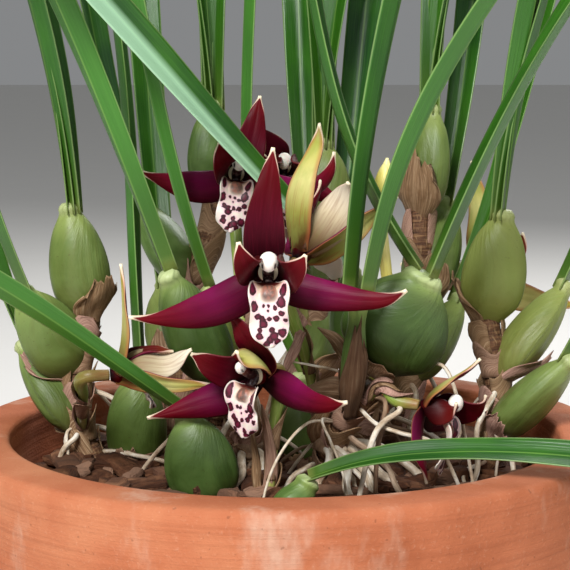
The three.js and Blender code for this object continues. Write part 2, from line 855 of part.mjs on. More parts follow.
const seats = [
  ...growths.map(([, growth]) => bulbSolid(growth, GAP)),
  ...flowers.map(([, flower]) => stalkSolid(flower, GAP)),
  budSolid(GAP),
];
const climbing = [...Object.values(RHIZOMES), ...Object.values(STEMS).map(({ path }) => path)];
const holes = climbing.map((path) => {
  return stemSolid(path.slice(0, 3), [HOLE_RADIUS, HOLE_RADIUS], { steps: 3 });
});
const grooves = Object.values(ROOTS).map((bunch) => rootsSolid(bunch, GAP));

add("pot", "clay", potSolid());
add("bark_mix", "bark", clearOf(barkSolid(), [...holes, ...seats, ...grooves]));
for (const [name, path] of Object.entries(RHIZOMES)) {
  add(`rhizome_${name}`, "rhizome", clearOf(rhizomeSolid(path), seats));
}
for (const [name, bunch] of Object.entries(ROOTS)) {
  add(`roots_${name}`, "root", clearOf(rootsSolid(bunch), [...holes, ...seats]));
}
for (const [name, growth] of growths) {
  add(`bulb_${name}`, "bulb", bulbSolid(growth));
  growth.leaves.forEach((leaf, k) => {
    const numbered = growth.leaves.length > 1 ? `leaf_${name}_${k + 1}` : `leaf_${name}`;
    add(numbered, "leaf", leafSolid(leafFoot(growth, LEAF_CLEAR, leaf.offset), leaf));
  });
}
for (const [name, stem] of Object.entries(STEMS)) {
  add(`stem_${name}`, "leaf", leafyStemSolid(stem, seats));
}
for (const [name, flower] of flowers) {
  add(`flower_${name}_stalk`, "stalk", stalkSolid(flower));
  add(`flower_${name}_perianth`, "petal", perianthSolid(flower));
  add(`flower_${name}_lip_column`, "lip", lipColumnSolid(flower));
}
add("bud", "bud", budSolid());

export default plant;
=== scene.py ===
"""Looks of a potted coconut orchid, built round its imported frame.

Lengths are millimetres in the tables and metres in the scene, and angles are degrees. +Z is up, the
origin is the centre of the pot's underside, and the front of the plant faces -Y.
"""

import math
from collections import namedtuple

import bpy
import numpy as np
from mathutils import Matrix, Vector, noise


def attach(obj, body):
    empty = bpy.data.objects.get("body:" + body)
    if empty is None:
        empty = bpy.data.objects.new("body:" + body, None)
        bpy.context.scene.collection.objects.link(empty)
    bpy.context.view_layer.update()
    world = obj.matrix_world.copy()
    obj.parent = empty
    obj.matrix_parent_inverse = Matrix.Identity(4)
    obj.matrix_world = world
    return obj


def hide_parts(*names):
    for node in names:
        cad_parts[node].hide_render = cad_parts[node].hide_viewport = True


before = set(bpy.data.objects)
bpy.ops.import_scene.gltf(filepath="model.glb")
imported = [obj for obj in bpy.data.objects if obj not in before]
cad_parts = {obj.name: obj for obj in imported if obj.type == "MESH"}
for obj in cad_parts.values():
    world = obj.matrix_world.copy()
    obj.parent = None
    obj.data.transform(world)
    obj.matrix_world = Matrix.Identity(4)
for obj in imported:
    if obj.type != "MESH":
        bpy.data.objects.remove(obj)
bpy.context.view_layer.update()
MM = 0.001
SEEDS = {"growths": 11, "stems": 23, "rhizomes": 31, "roots": 43, "flowers": 59, "fine_roots": 71,
         "chips": 97}

# Pot and bark
POT = {"height": 110, "foot": 42, "shoulder": 58, "rim": 65, "rim_depth": 24, "wall": 5, "floor": 7}
POT_EDGE = 1.5
POT_SIDES = 120
UNDER_RIM = POT["height"] - POT["rim_depth"]
DRAIN = {"count": 3, "radius": 4.5, "ring": 24}
BARK_SURFACE = 99.5
CHIPS = 230
GAP = 0.3

# Growths at the front: each a pseudobulb with its leaf or two
GROWTHS = {
    # `sheath` is how far up the bulb its papery sheaths reach, `withered` how dark they are, and
    # `shade` how much painted shade darkens the bulb below its top. `painted_reflection` paints a pale
    # reflection over most of a leaf's upper side.
    "left": {
        "foot": (-13, -7.4, 120.4), "tip": (-22.4, -12, 142.2), "wide": 12.5, "deep": 9.5,
        "sheath": 0.12, "shade": 0.45,
        "leaves": [{"toward": 184, "length": 215, "lean": (20, 22, 28, 38, 49, 61), "width": 7.8,
                    "twist": (50, 45, 30, 15)}],
    },
    "right": {
        "foot": (17, -12.2, 124.2), "tip": (26.4, -14.5, 142.2), "wide": 21.5, "deep": 12, "neck": 0.34,
        "sheath": 0.12, "shade": 0.6,
        "leaves": [
            {"toward": 170, "length": 225, "lean": (35, 13, 7, 10, 19, 30), "offset": (-1.7, 0.4, 0.5)},
            {"toward": 4, "length": 190, "lean": (22, 28, 38, 52, 64, 78), "offset": (1.8, -0.6, -0.7),
             "width": 10.5},
        ],
    },
    "low_left": {
        "foot": (-14, -17, 98), "tip": (-18.6, -18.2, 116.2), "wide": 14.5, "deep": 9,
        "sheath": 0.15, "shade": 0.6,
        "leaves": [{"toward": 215, "length": 130, "lean": (54, 54, 59, 69, 84, 98), "width": 5,
                    "twist": (60, 60, 40)}],
    },
    "far_left": {
        "foot": (-31, 12, 98), "tip": (-30.5, 10, 119), "wide": 13, "deep": 10, "shade": 0.3,
        "leaves": [{"toward": 176, "length": 205, "lean": (3, 2, 10, 24, 42, 62)}],
    },
    "low_middle": {
        "foot": (4, 10, 98), "tip": (3.4, 11, 118), "wide": 14, "deep": 9, "shade": 0.6,
        "leaves": [{"toward": 160, "length": 230, "lean": (30, 2, -2, 6, 18, 32), "width": 7,
                    "twist": (40, 30, 20)}],
    },
    "young": {
        "foot": (12.4, -14.6, 116.4), "tip": (13.7, -23.6, 139.3), "wide": 4.8, "deep": 4.8, "neck": 0.9,
        "sheath": 0.75, "withered": 1.3, "shade": 0.3,
        "leaves": [
            {"toward": -17, "length": 235, "lean": (4, 12, 18, 24, 29, 35), "offset": (-0.8, 1.2, 0.2),
             "width": 10.5},
            {"toward": -27, "length": 215, "lean": (10, 30, 43, 53, 61, 68), "offset": (2.3, -0.8, 0)},
        ],
    },
    "slim": {
        "foot": (-12.4, 2.2, 118.8), "tip": (-15.4, 0.5, 137.4), "wide": 8.5, "deep": 6.4,
        "leaves": [{"toward": 216, "length": 205, "lean": (22, 14, 15, 22, 32, 43), "width": 6.6}],
    },
    "inner": {
        "foot": (15.2, 7.4, 121), "tip": (13.4, 7, 140.6), "wide": 11, "deep": 8,
        "leaves": [{"toward": 214, "length": 205, "lean": (51, 45, 46, 50, 57, 64), "width": 8.6,
                    "twist": (-60, -70, -70, -50), "painted_reflection": 1}],
    },
    "front": {
        "foot": (-1, -31, 98), "tip": (4.2, -29.6, 106), "wide": 8, "deep": 7, "neck": 0.5,
        "leaves": [{"toward": -18, "length": 105, "lean": (66, 81, 89, 96, 104, 110), "width": 6.8,
                    "twist": (30, 30, 25)}],
    },
}
LEAF_WIDTH = 9
LEAF_HALF = (0.66, 0.84, 0.96, 1, 0.97, 0.86, 0.62, 0.1)
LEAF_FOLD = (72, 60, 48, 40, 36, 34, 32, 30)
LEAF_CLEAR = 0.65
LEAF_SUNK = -1.25
BULB_OUTLINE = (0.4, 0.88, 1, 0.93, 0.7, 0.3)
BULB_GIRTH = 0.97
BULB_LEAST_DEPTH = 0.42
LEAST_HALF = 0.22
FOLD_ROUNDING = 0.006

# Rhizomes, leafy stems and the roots that spring from them
RHIZOMES = {
    "left": [(-5, -2, 95), (-6.5, -2.5, 105), (-8.5, -4, 113), (-12.8, -7, 120)],
    "right": [(6, -1, 95), (8.5, -5.5, 105), (11, -10, 113), (16.6, -12.2, 120.5)],
    "middle": [(-12, 4, 95), (-13, 4, 104), (-13, 3.5, 112), (-12, 2.5, 119)],
    "inner": [(15, 6, 95), (16, 7, 105), (16, 7.5, 113), (15.2, 7.5, 121)],
}
RHIZOME_RADII = tuple(2.5 * share for share in (1, 1.2, 0.94, 1.2, 0.94, 1.22, 1.1))
STEMS = {
    "side_left": {"seed": 6, "fan": (150, 212),
                  "path": [(-36, 8, 95), (-42, 11, 106), (-43, 13, 118), (-41, 15, 130)]},
    "back_left": {"seed": 17, "fan": (108, 152),
                  "path": [(-21, 19, 95), (-23, 25, 112), (-20, 32, 132), (-14, 38, 152)]},
    "back": {"seed": 29, "fan": (66, 112),
             "path": [(1, 22, 95), (4, 29, 112), (6, 37, 128), (8, 44, 144)]},
    "back_right": {"seed": 41, "fan": (24, 70),
                   "path": [(22, 18, 95), (26, 23, 112), (29, 28, 130), (29, 34, 150)]},
    "side_right": {"seed": 53, "fan": (-30, 26),
                   "path": [(37, 2, 95), (42, 4, 106), (43, 7, 118), (41, 10, 130)]},
}
STEM_BULBS = 3
FINE_ROOTS = 7  # to each rhizome
FINE_ROOTS_REACH = 46
ROOT_SWELL = (1.1, 1, 1.06, 0.95, 1, 0.9)
LOWEST_BULB = 0.36
ROOTS = {
    "left": {"on": ("left", 0.42), "ends": [(-12, -24, 98), (-2, -20, 98), (-6, 12, 98), (-20, 1, 98)]},
    "right": {"on": ("right", 0.5),
              "ends": [(28, -22, 98), (14, -29, 98), (31, -5, 98), (21, -28, 98), (6, -20, 98)]},
}
# Thin roots with places of their own: their points, radius and how brown they are
THREADS = [
    ([(14, -12, 121.5), (10.2, -14.5, 124.1), (5.7, -17, 125.6), (1.5, -16, 126.2)], 0.24, 0.3),
    ([(10.5, -10, 113), (6.7, -16, 114.7), (4, -22, 115.4), (0.9, -26, 113.3), (-2.4, -28, 108),
      (-5, -30, 99)], 0.26, 0.5),
    ([(10.5, -10, 113), (7.1, -16, 114.9), (8.5, -20, 111.9), (10.7, -24, 107.1), (12, -26, 99)],
     0.26, 0.6),
    ([(14, -13, 117), (17.6, -20, 114.8), (21.7, -22, 113.7), (28.1, -22, 111.6), (35, -18, 99)], 0.4, 0.1),
    ([(19, -14, 119), (21.8, -20, 117.7), (18.6, -22, 115.8), (16.7, -24, 113.6), (13, -28, 99)],
     0.52, 0.2),
    ([(20, -11, 124), (24.6, -11, 126.6), (27, -12, 125.5), (30.7, -14, 124.7), (37, -16, 99)], 0.34, 0.1),
    ([(17, -14, 119), (19, -18.5, 119), (18.7, -20, 115.8), (17.5, -22, 110.8), (17, -23, 99)], 0.45, 1.0),
]
# Dried sheaths that hang from stalks and rhizomes: points, width, how pink (below 0: dark and withered)
STRIPS = [
    ([(14.5, -12, 121.5), (12, -15, 126), (9.7, -17, 130), (6.2, -16, 132.8)], 3.4, -0.45),
    ([(3.4, -14, 131.8), (1.5, -17, 127.9), (-0.8, -17, 122.8)], 2.0, 0.9),
    ([(-3, -20.5, 99), (-2.6, -23, 108), (-3, -23.4, 113), (-4.3, -24, 119.5)], 2.4, 0.7),
    ([(-5, -20, 99), (-5.4, -22, 106), (-6.2, -22, 115)], 1.8, 0.3),
    ([(14.5, -12, 119), (11, -15.5, 120.5), (7, -16, 121), (2.6, -15, 120.2)], 4.4, -0.6),
    ([(8, -5, 105), (6, -11, 112), (9, -14, 119)], 3.6, 0.2),
]

# Flower parts, in a frame whose front faces out of the throat
SEPAL = {"out": 1, "ahead": -0.8, "rise": (8, 14, 16, 12, 4), "cup": (-20, -34, -36, -30, -20)}
PETAL = {"out": 2, "ahead": -0.2, "half": (1.5, 3.2, 3.7, 3.1, 1.9, 0.3), "cup": (0, 8, 18, 22, 10)}
TEPALS = {
    "dorsal": {**SEPAL, "length": 22, "around": (100, 91, 84, 82, 84), "rise": (26, 12, 4, 0, -4),
               "half": (2.6, 3.8, 3.7, 3.1, 2.3, 1.4, 0.25), "cup": (34, 20, 10, 0, -10)},
    "left": {**SEPAL, "length": 26.9, "around": (224, 212, 199, 191, 182, 170),
             "half": (2.2, 3.6, 3.8, 3.3, 2.2, 1, 0.25)},
    "right": {**SEPAL, "length": 26, "around": (-40, -19, -8, -6, 5, 36),
              "half": (2.2, 3.3, 3.2, 2.7, 2, 1.3, 0.25)},
    "petal_left": {**PETAL, "length": 14.8, "around": (178, 163, 143, 120, 98),
                   "rise": (70, 83, 80, 32, -10)},
    "petal_right": {**PETAL, "length": 13.4, "around": (-6, 10, 28, 46, 64),
                    "rise": (64, 76, 84, 40, -10)},
}
BACKS = {"dark": 0, "olive": 1, "cream": 2}  # the colours of a flower part's underside
LIP = {"length": 12.4, "around": (-90, -88), "rise": (58, 36, 8, 0, -4, -8, -20),
       "half": (1.4, 3.2, 4.2, 3.4, 3.5, 3.6, 3, 0.8), "cup": (20, 52, 44, 4, -16, -24, -26)}
RECEPTACLE = {"radius": 2, "neck": 1.3, "back": 1.8, "front": 1}
COLUMN = [(0, -2, 2.7), (0, 0, 1.35), (0, 0.8, 3.2), (0, 2, 5.4)]
CAP = (1.72, 1.85, 1.55)  # half its width, height and depth
STALK_RADIUS = 1.05
SEED_POD = {"radius": 1.4, "end": 1.15, "behind": 7}

# Flowers, each with the parts that differ from the usual ones
FLOWERS = {
    "a": {"at": (-3.1, -30, 145.4), "turn": 2, "tilt": 5, "size": 1, "on": ("left", 0.78),
          "petal_left": {"out": 2.4, "around": (174, 156, 134, 114, 98),
                         "half": (1.4, 2.8, 3.1, 2.7, 1.7, 0.3)}},
    "b": {"at": (-9.9, 8, 160.2), "turn": 8, "tilt": 10, "roll": -8, "size": 0.9, "on": ("left", 0.5),
          "dorsal": {"length": 17.7, "around": (66, 84, 86)},
          "left": {"length": 22.8, "around": (227, 199, 184, 178, 169, 164)},
          "right": {"length": 29.2, "around": (-18, -8, 4, 28, 62, 94), "rise": (4, 8, -16, -30, 0)},
          "lip": {"around": (-91, -95)}},
    "c": {"at": (-0.5, 28, 160.4), "turn": 4, "tilt": -6, "size": 0.95, "on": ("back", 0.52),
          "dorsal": {"length": 12.5, "around": (126, 136, 142)},
          "left": {"length": 16},
          "right": {"length": 15, "around": (-40, -34, -28, -20)}},
    "d": {"at": (3.3, -12, 146.6), "turn": 135, "tilt": 44, "roll": 14, "shut": 30, "size": 1,
          "on": ("right", 0.4),
          "dorsal": {"length": 26, "around": (60, 73, 87, 99), "rise": (19, 21, 35, 41, -16)},
          "left": {"length": 22, "around": (200, 190, 182, 176, 170), "rise": (24, 34, 38, 34, 28)},
          "right": {"length": 28, "around": (-57, -32, -6, 19), "rise": (-9, 15, 30, 55, 30)},
          "petal_left": {"length": 18, "around": (152, 140, 126, 114, 106),
                         "half": (1.6, 3, 3.9, 3.7, 2.4, 0.3), "back": "cream"}},
    "e": {"at": (-5, -25.5, 125.5), "turn": -36, "tilt": 2, "roll": 7, "size": 0.95, "cap": 0.66,
          "foot": (-3.4, -21.5, 96),
          "dorsal": {"length": 16, "around": (56, 99, 144), "rise": (8, 50, 44, 2, -11)},
          "left": {"length": 24.6, "around": (215, 204, 195, 194, 193, 189), "rise": (8, 18, 26, 26, 18)},
          "right": {"length": 24.1, "around": (-27, -22, -17, -10, 1, 13)},
          "petal_left": {"length": 14.1, "around": (155, 148, 144, 143, 145), "rise": (65, 85, 55, 26, 20)},
          "petal_right": {"length": 15, "around": (42, 48, 53, 56, 59), "rise": (55, 58, 74, 92, 8),
                          "back": "olive"},
          "lip": {"length": 10.8, "around": (-104, -94)}},
    "f": {"at": (-31.8, -14.3, 123.5), "turn": 101, "tilt": 3, "roll": 4, "shut": 30, "size": 0.95,
          "on": ("side_left", 0.36),
          "dorsal": {"rise": (-4, -18, -26, -30, -34)},
          "left": {"length": 20.9, "around": (191, 191, 190, 187, 183), "rise": (44, 26, 30, 50, 30),
                   "half": (1.6, 2.4, 2.4, 2, 1.5, 0.8, 0.25)},
          "right": {"length": 13, "around": (88, 96, 102, 104), "rise": (20, 34, 60, 76),
                    "half": (1.8, 2.6, 2.5, 2, 1.5, 0.9, 0.25), "back": "dark"},
          "petal_left": {"length": 16.5, "around": (140, 134, 128, 123, 119),
                         "rise": (46, 84, 106, 50, 50), "back": "cream"},
          "petal_right": {"length": 8},
          "lip": {"length": 7, "rise": (62, 46, 40, 38, 34, 30, 20)}},
    "g": {"at": (27.2, -20.5, 118.3), "turn": 70, "tilt": -8, "size": 0.92, "on": ("right", 0.82),
          "via": (18.6, -16.6, 121.4),
          "dorsal": {"length": 15, "around": (96, 88, 84), "rise": (26, 42, 50, 44, 30)},
          "left": {"length": 15.5, "around": (236, 256, 272, 284), "rise": (0, 10, 18, 16, 8)},
          "petal_left": {"length": 9, "half": (1, 2.4, 2.8, 2.2, 1.2, 0.3)}},
    "h": {"at": (42, 40, 138), "turn": 138, "tilt": 6, "size": 1, "on": ("back_right", 0.52)},
}
BUD = {"at": (18.8, 0, 153.5), "tip": (20.1, 0, 164), "via": (20.6, 1, 128), "radius": 2.3,
       "on": ("inner", 0.7)}

# Spots of the lip: millimetres across and along it, and radius
SPOTS = [
    (-3.4, 2.9, 0.75), (-2.8, 5.0, 0.75), (-2.0, 6.6, 0.5), (-1.2, 7.1, 0.5), (-1.05, 8.0, 0.7),
    (0.0, 7.1, 0.42), (1.3, 7.0, 0.5), (2.2, 6.1, 0.5), (2.9, 7.4, 0.4), (2.3, 4.35, 0.85),
    (2.85, 3.0, 0.7), (-1.0, 4.7, 0.28), (-0.1, 4.7, 0.3), (1.1, 5.1, 0.35), (-0.1, 5.6, 0.18),
    (-1.65, 9.1, 0.42), (-1.8, 10.2, 0.6), (0.4, 9.1, 0.5), (2.3, 9.7, 0.8), (0.8, 10.2, 0.75),
    (0.1, 11.0, 0.65), (1.4, 11.2, 0.6), (-0.6, 11.7, 0.5),
]


# Small tools
Frame = namedtuple("Frame", "at right up front")


def unit(vectors):
    """Vectors brought to length 1."""
    vectors = np.asarray(vectors, float)
    return vectors / np.maximum(np.linalg.norm(vectors, axis=-1, keepdims=True), 1e-9)


def together(*parts):
    """Numbers and arrays side by side, as the last axis of one array."""
    return np.stack(np.broadcast_arrays(*parts), axis=-1)


def hump(x, power=2):
    """1 at 0, and next to nothing beyond 2 on either side."""
    return np.exp(-(np.abs(x) ** power))


def turns(sides):
    """Angles all the way round."""
    return np.linspace(0, 2 * math.pi, sides, endpoint=False)


def along(values, u):
    """The smooth curve through a row of evenly spaced values, at u from 0 to 1."""
    values = np.asarray(values, float)
    last = len(values) - 1
    i = np.minimum(np.floor(np.asarray(u, float) * last).astype(int), last - 1)
    t = np.asarray(u, float) * last - i
    a, b, c, d = (values[np.clip(i + k, 0, last)] for k in (-1, 0, 1, 2))
    return b + 0.5 * t * (c - a + t * (2 * a - 5 * b + 4 * c - d + t * (3 * (b - c) + d - a)))


def dice(seed):
    """A repeatable row of numbers from 0 to 1."""
    state = seed
    while True:
        state = (state * 16807) % 2147483647
        yield state / 2147483647


def frame_at(at, turn, tilt=0, roll=0):
    """A frame that faces `turn` degrees to the right of straight ahead, tilted up and rolled."""
    a, b, c = np.radians([turn, tilt, roll])
    front = np.array([math.sin(a) * math.cos(b), -math.cos(a) * math.cos(b), math.sin(b)])
    level = unit(np.cross((0, 0, 1), front))
    right = level * math.cos(c) + np.cross(front, level) * math.sin(c)
    return Frame(np.asarray(at, float), right, np.cross(front, right), front)


def in_frame(place, point, size=1):
    """A point given from the frame's own place and directions, and made larger or smaller."""
    x, y, z = np.multiply(point, size)
    return place.at + place.right * x + place.up * y + place.front * z


def walk(points, shares):
    """Points at shares of the length of the smooth curve through a row of points."""
    p = np.asarray(points, float)
    p = np.vstack([2 * p[0] - p[1], p, 2 * p[-1] - p[-2]])
    fine = []
    for k in range(1, len(p) - 2):
        x0, x1, x2, x3 = p[k - 1 : k + 3]
        d0, d1, d2 = (max(np.linalg.norm(b - a), 1e-6) ** 0.5 for a, b in ((x0, x1), (x1, x2), (x2, x3)))
        t1 = ((x1 - x0) / d0 - (x2 - x0) / (d0 + d1) + (x2 - x1) / d1) * d1
        t2 = ((x2 - x1) / d1 - (x3 - x1) / (d1 + d2) + (x3 - x2) / d2) * d1
        t = np.linspace(0, 1, 60)[:, None]
        curve = x1 + t1 * t + (3 * (x2 - x1) - 2 * t1 - t2) * t**2 + (2 * (x1 - x2) + t1 + t2) * t**3
        fine.append(curve if k == 1 else curve[1:])
    fine = np.vstack(fine)
    run = np.concatenate([[0], np.cumsum(np.linalg.norm(np.diff(fine, axis=0), axis=1))])
    at = np.atleast_1d(shares) * run[-1]
    return together(*(np.interp(at, run, line) for line in fine.T))


def wrapped(path, share, angle, radius, lean):
    """Points round the smooth curve through a path: at shares of its length, and at angles round it."""
    steps = np.linspace(0, 1, 101)
    centre = walk(path, steps)
    ahead = unit(np.gradient(centre, axis=0))
    middle, forward = (together(*(np.interp(share, steps, line) for line in lines.T))
                       for lines in (centre, ahead))
    side = unit(np.cross(forward, lean))
    other = np.cross(side, forward)
    return middle + side * (radius * np.cos(angle))[..., None] + other * (radius * np.sin(angle))[..., None]


# Surfaces
def grid(rows, columns):
    """Shares from 0 to 1 along a sheet, and from -1 to 1 across it."""
    return np.meshgrid(np.linspace(0, 1, rows), np.linspace(-1, 1, columns), indexing="ij")


def placed(name, data):
    """A new object in the scene."""
    thing = bpy.data.objects.new(name, data)
    bpy.context.scene.collection.objects.link(thing)
    return thing


def grid_faces(rows, columns, wrap=False):
    """The four-sided faces of a grid of points. `wrap` joins the last column to the first."""
    row = np.arange(rows - 1)[:, None] * columns
    column = np.arange(columns if wrap else columns - 1)[None, :]
    right = (column + 1) % columns
    corners = together(row + column, row + columns + column, row + columns + right, row + right)
    return corners.reshape(-1, 4)


class Surface:
    """A piece in the making: its points and faces, and what its material reads at each point.

    `place` is (share of the length, share across, millimetres from the edge of a sheet or from the
    middle line of a tube), `flat` is (millimetres across, millimetres along, a number of its own for
    each part), and `tone` is (1 on the upper side, a tint, a mark).
    """

    LAYERS = ("place", "flat", "tone")

    def __init__(self):
        self.points = []
        self.faces = []
        self.layers = {name: [] for name in self.LAYERS}
        self.count = 0

    def add(self, points, faces, *layers):
        """More points, their faces and their three layers."""
        self.points.append(points)
        for some in faces:
            self.faces.extend((np.asarray(some) + self.count).tolist())
        for name, layer in zip(self.LAYERS, layers):
            self.layers[name].append(layer)
        self.count += len(points)

    def sheet(self, middle, thick, place, flat, tint=0, mark=(0, 0)):
        """A closed thin sheet round a grid of points, `thick` millimetres thick at each."""
        normal = unit(np.cross(np.gradient(middle, axis=0), np.gradient(middle, axis=1)))
        step = normal * (np.asarray(thick) / 2)[..., None]
        rows, columns = middle.shape[:2]
        half = rows * columns
        index = np.arange(half).reshape(rows, columns)
        rim = np.concatenate([index[:, 0], index[-1, 1:], index[-2::-1, -1], index[0, -2:0:-1]])
        rim_next = np.roll(rim, -1)
        faces = grid_faces(rows, columns)
        wall = together(rim + half, rim_next + half, rim_next, rim)
        tones = [together(side, tint, level + 0 * normal[..., 0]).reshape(-1, 3)
                 for side, level in ((1, mark[0]), (0, mark[1]))]
        both = [np.tile(layer.reshape(-1, 3), (2, 1)) for layer in (place, flat)]
        points = np.concatenate([(middle + step).reshape(-1, 3), (middle - step).reshape(-1, 3)])
        self.add(points, [faces, faces[:, ::-1] + half, wall], *both, np.concatenate(tones))

    def paper(self, points, shares, across, run, luck, thick, start=0):
        """A papery sheet. `across` and `run` are its millimetres across and along, for its material,
        which doesn't ask how far a point is from the edge.
        """
        ss, ww = shares
        place = together(start + (1 - start) * ss, ww, 0)
        flat = together(across, ss * run, luck)
        self.sheet(points, np.full(ss.shape, thick), place, flat)

    def rings(self, rings, luck=0.5, tint=0, mark=0):
        """A closed skin over rings of points, with a point at the middle of each end."""
        rows, sides = rings.shape[:2]
        middles = rings.mean(axis=1)
        reach = np.linalg.norm(rings - middles[:, None], axis=-1)
        run = np.concatenate([[0], np.cumsum(np.linalg.norm(np.diff(middles, axis=0), axis=1))])
        angle = np.linspace(-1, 1, sides, endpoint=False)
        place = together(run[:, None] / max(run[-1], 1e-6), angle, reach)
        flat = together(math.pi * angle * reach, run[:, None], luck)
        tone = together(1, tint, mark + 0 * reach)
        ends = ([[0, 0, 0], [1, 0, 0]], [[0, 0, luck], [0, run[-1], luck]], tone[[0, -1], 0])
        k = np.arange(sides)
        turn = (k + 1) % sides
        low = together(rows * sides, k, turn)
        high = together(rows * sides + 1, (rows - 1) * sides + turn, (rows - 1) * sides + k)
        self.add(np.concatenate([rings.reshape(-1, 3), middles[[0, -1]]]),
                 [grid_faces(rows, sides, wrap=True), low, high],
                 *(np.concatenate([layer.reshape(-1, 3), end])
                   for layer, end in zip((place, flat, tone), ends)))

    def mesh(self, name):
        """The bare shape, in metres."""
        mesh = bpy.data.meshes.new(name)
        mesh.from_pydata((np.concatenate(self.points) * MM).tolist(), [], self.faces)
        return mesh

    def piece(self, name, material, slot, nodes=()):
        """The finished object, riding on the plant in place of the nodes that it stands for."""
        mesh = self.mesh(name)
        for layer, values in self.layers.items():
            attribute = mesh.attributes.new(layer, "FLOAT_VECTOR", "POINT")
            attribute.data.foreach_set("vector", np.concatenate(values).astype(np.float32).ravel())
        mesh.polygons.foreach_set("use_smooth", [True] * len(mesh.polygons))
        mesh.materials.append(PAINTS[material])
        thing = placed(name, mesh)
        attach(thing, "root")
        if nodes:
            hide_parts(*nodes)
        return thing


def tube_rings(points, radii, sides, steps, shape=None):
    """Rings round the smooth curve through some points. `shape` changes radii by share and angle."""
    shares = np.linspace(0, 1, steps + 1)
    centre = walk(points, shares)
    ahead = unit(np.gradient(centre, axis=0))
    side = unit(np.cross(ahead[0], (0.31, 0.88, 0.36)))
    angle = turns(sides)
    rings = []
    for middle, forward, share in zip(centre, ahead, shares):
        side = unit(side - forward * np.dot(side, forward))
        other = np.cross(side, forward)
        radius = along(radii, share) * (np.ones(sides) if shape is None else shape(share, angle))
        ring = middle + np.outer(radius * np.cos(angle), side) + np.outer(radius * np.sin(angle), other)
        rings.append(ring)
    return np.array(rings)


def blade_spine(blade, place, rows):
    """The middle line of a blade, and the directions along, across and out of its face."""
    fine = 4

    def directions(u):
        around, rise, twist = (np.radians(along(blade.get(key, (0, 0)), u))[:, None]
                               for key in ("around", "rise", "twist"))
        out = np.cos(around) * place.right + np.sin(around) * place.up
        length = np.cos(rise) * out + np.sin(rise) * place.front
        level = np.cos(around) * place.up - np.sin(around) * place.right
        plumb = np.cross(length, level)
        across = level * np.cos(twist) + plumb * np.sin(twist)
        return length, across, np.cross(length, across)

    middles = (np.arange(rows * fine) + 0.5) / (rows * fine)
    steps = directions(middles)[0] * blade["length"] / (rows * fine)
    path = place.at + np.concatenate([np.zeros((1, 3)), np.cumsum(steps, axis=0)])[::fine]
    u = np.linspace(0, 1, rows + 1)
    return u, path, *directions(u)[1:]


def add_blade(surface, blade, place, rows, columns, luck, thick, relief, tint, mark=None, sweep=None,
              folded=False):
    """A blade of a leaf or flower.

    `thick`, `relief` and `sweep` are functions of u and v, in millimetres: how thick the blade is,
    how far it stands off its face, and how far its points are pushed towards the tip. `tint` is one
    too, and `mark` is a function of the millimetres across and along.
    """
    u, path, across, face = blade_spine(blade, place, rows)
    v = np.linspace(-1, 1, columns + 1)
    v = np.sign(v) * np.abs(v) ** 0.85
    half = np.maximum(along(blade["half"], u), LEAST_HALF)[:, None]
    cup = np.radians(along(blade["cup"], u))[:, None]
    cup = np.where(np.abs(cup) < 1e-4, 1e-4, cup)
    if folded:
        fold = np.sqrt(v**2 + FOLD_ROUNDING) - math.sqrt(FOLD_ROUNDING)
        x = half * np.sin(cup) / cup * v
        z = half * (1 - np.cos(cup)) / cup * fold
    else:
        x = half * np.sin(cup * v) / cup
        z = half * (1 - np.cos(cup * v)) / cup
    uu, vv = np.meshgrid(u, v, indexing="ij")
    z = z + relief(uu, vv)
    middle = path[:, None] + across[:, None] * x[..., None] + face[:, None] * z[..., None]
    if sweep is not None:
        middle += np.cross(across, face)[:, None] * sweep(uu, vv)[..., None]
    margin = np.minimum(half * (1 - np.abs(v)), blade["length"] * (1 - uu) * 0.6)
    flat = together(half * v, uu * blade["length"], luck)
    marks = mark(half * v, uu * blade["length"]) if mark else (0, 0)
    surface.sheet(middle, thick(uu, vv), together(uu, vv, margin), flat, tint(uu, vv), marks)


# Node materials
def colour(code):
    """A colour from its six-digit code, as the shaders want it."""
    parts = [int(code[k : k + 2], 16) / 255 for k in (0, 2, 4)]
    return (*[p / 12.92 if p <= 0.04045 else ((p + 0.055) / 1.055) ** 2.4 for p in parts], 1.0)


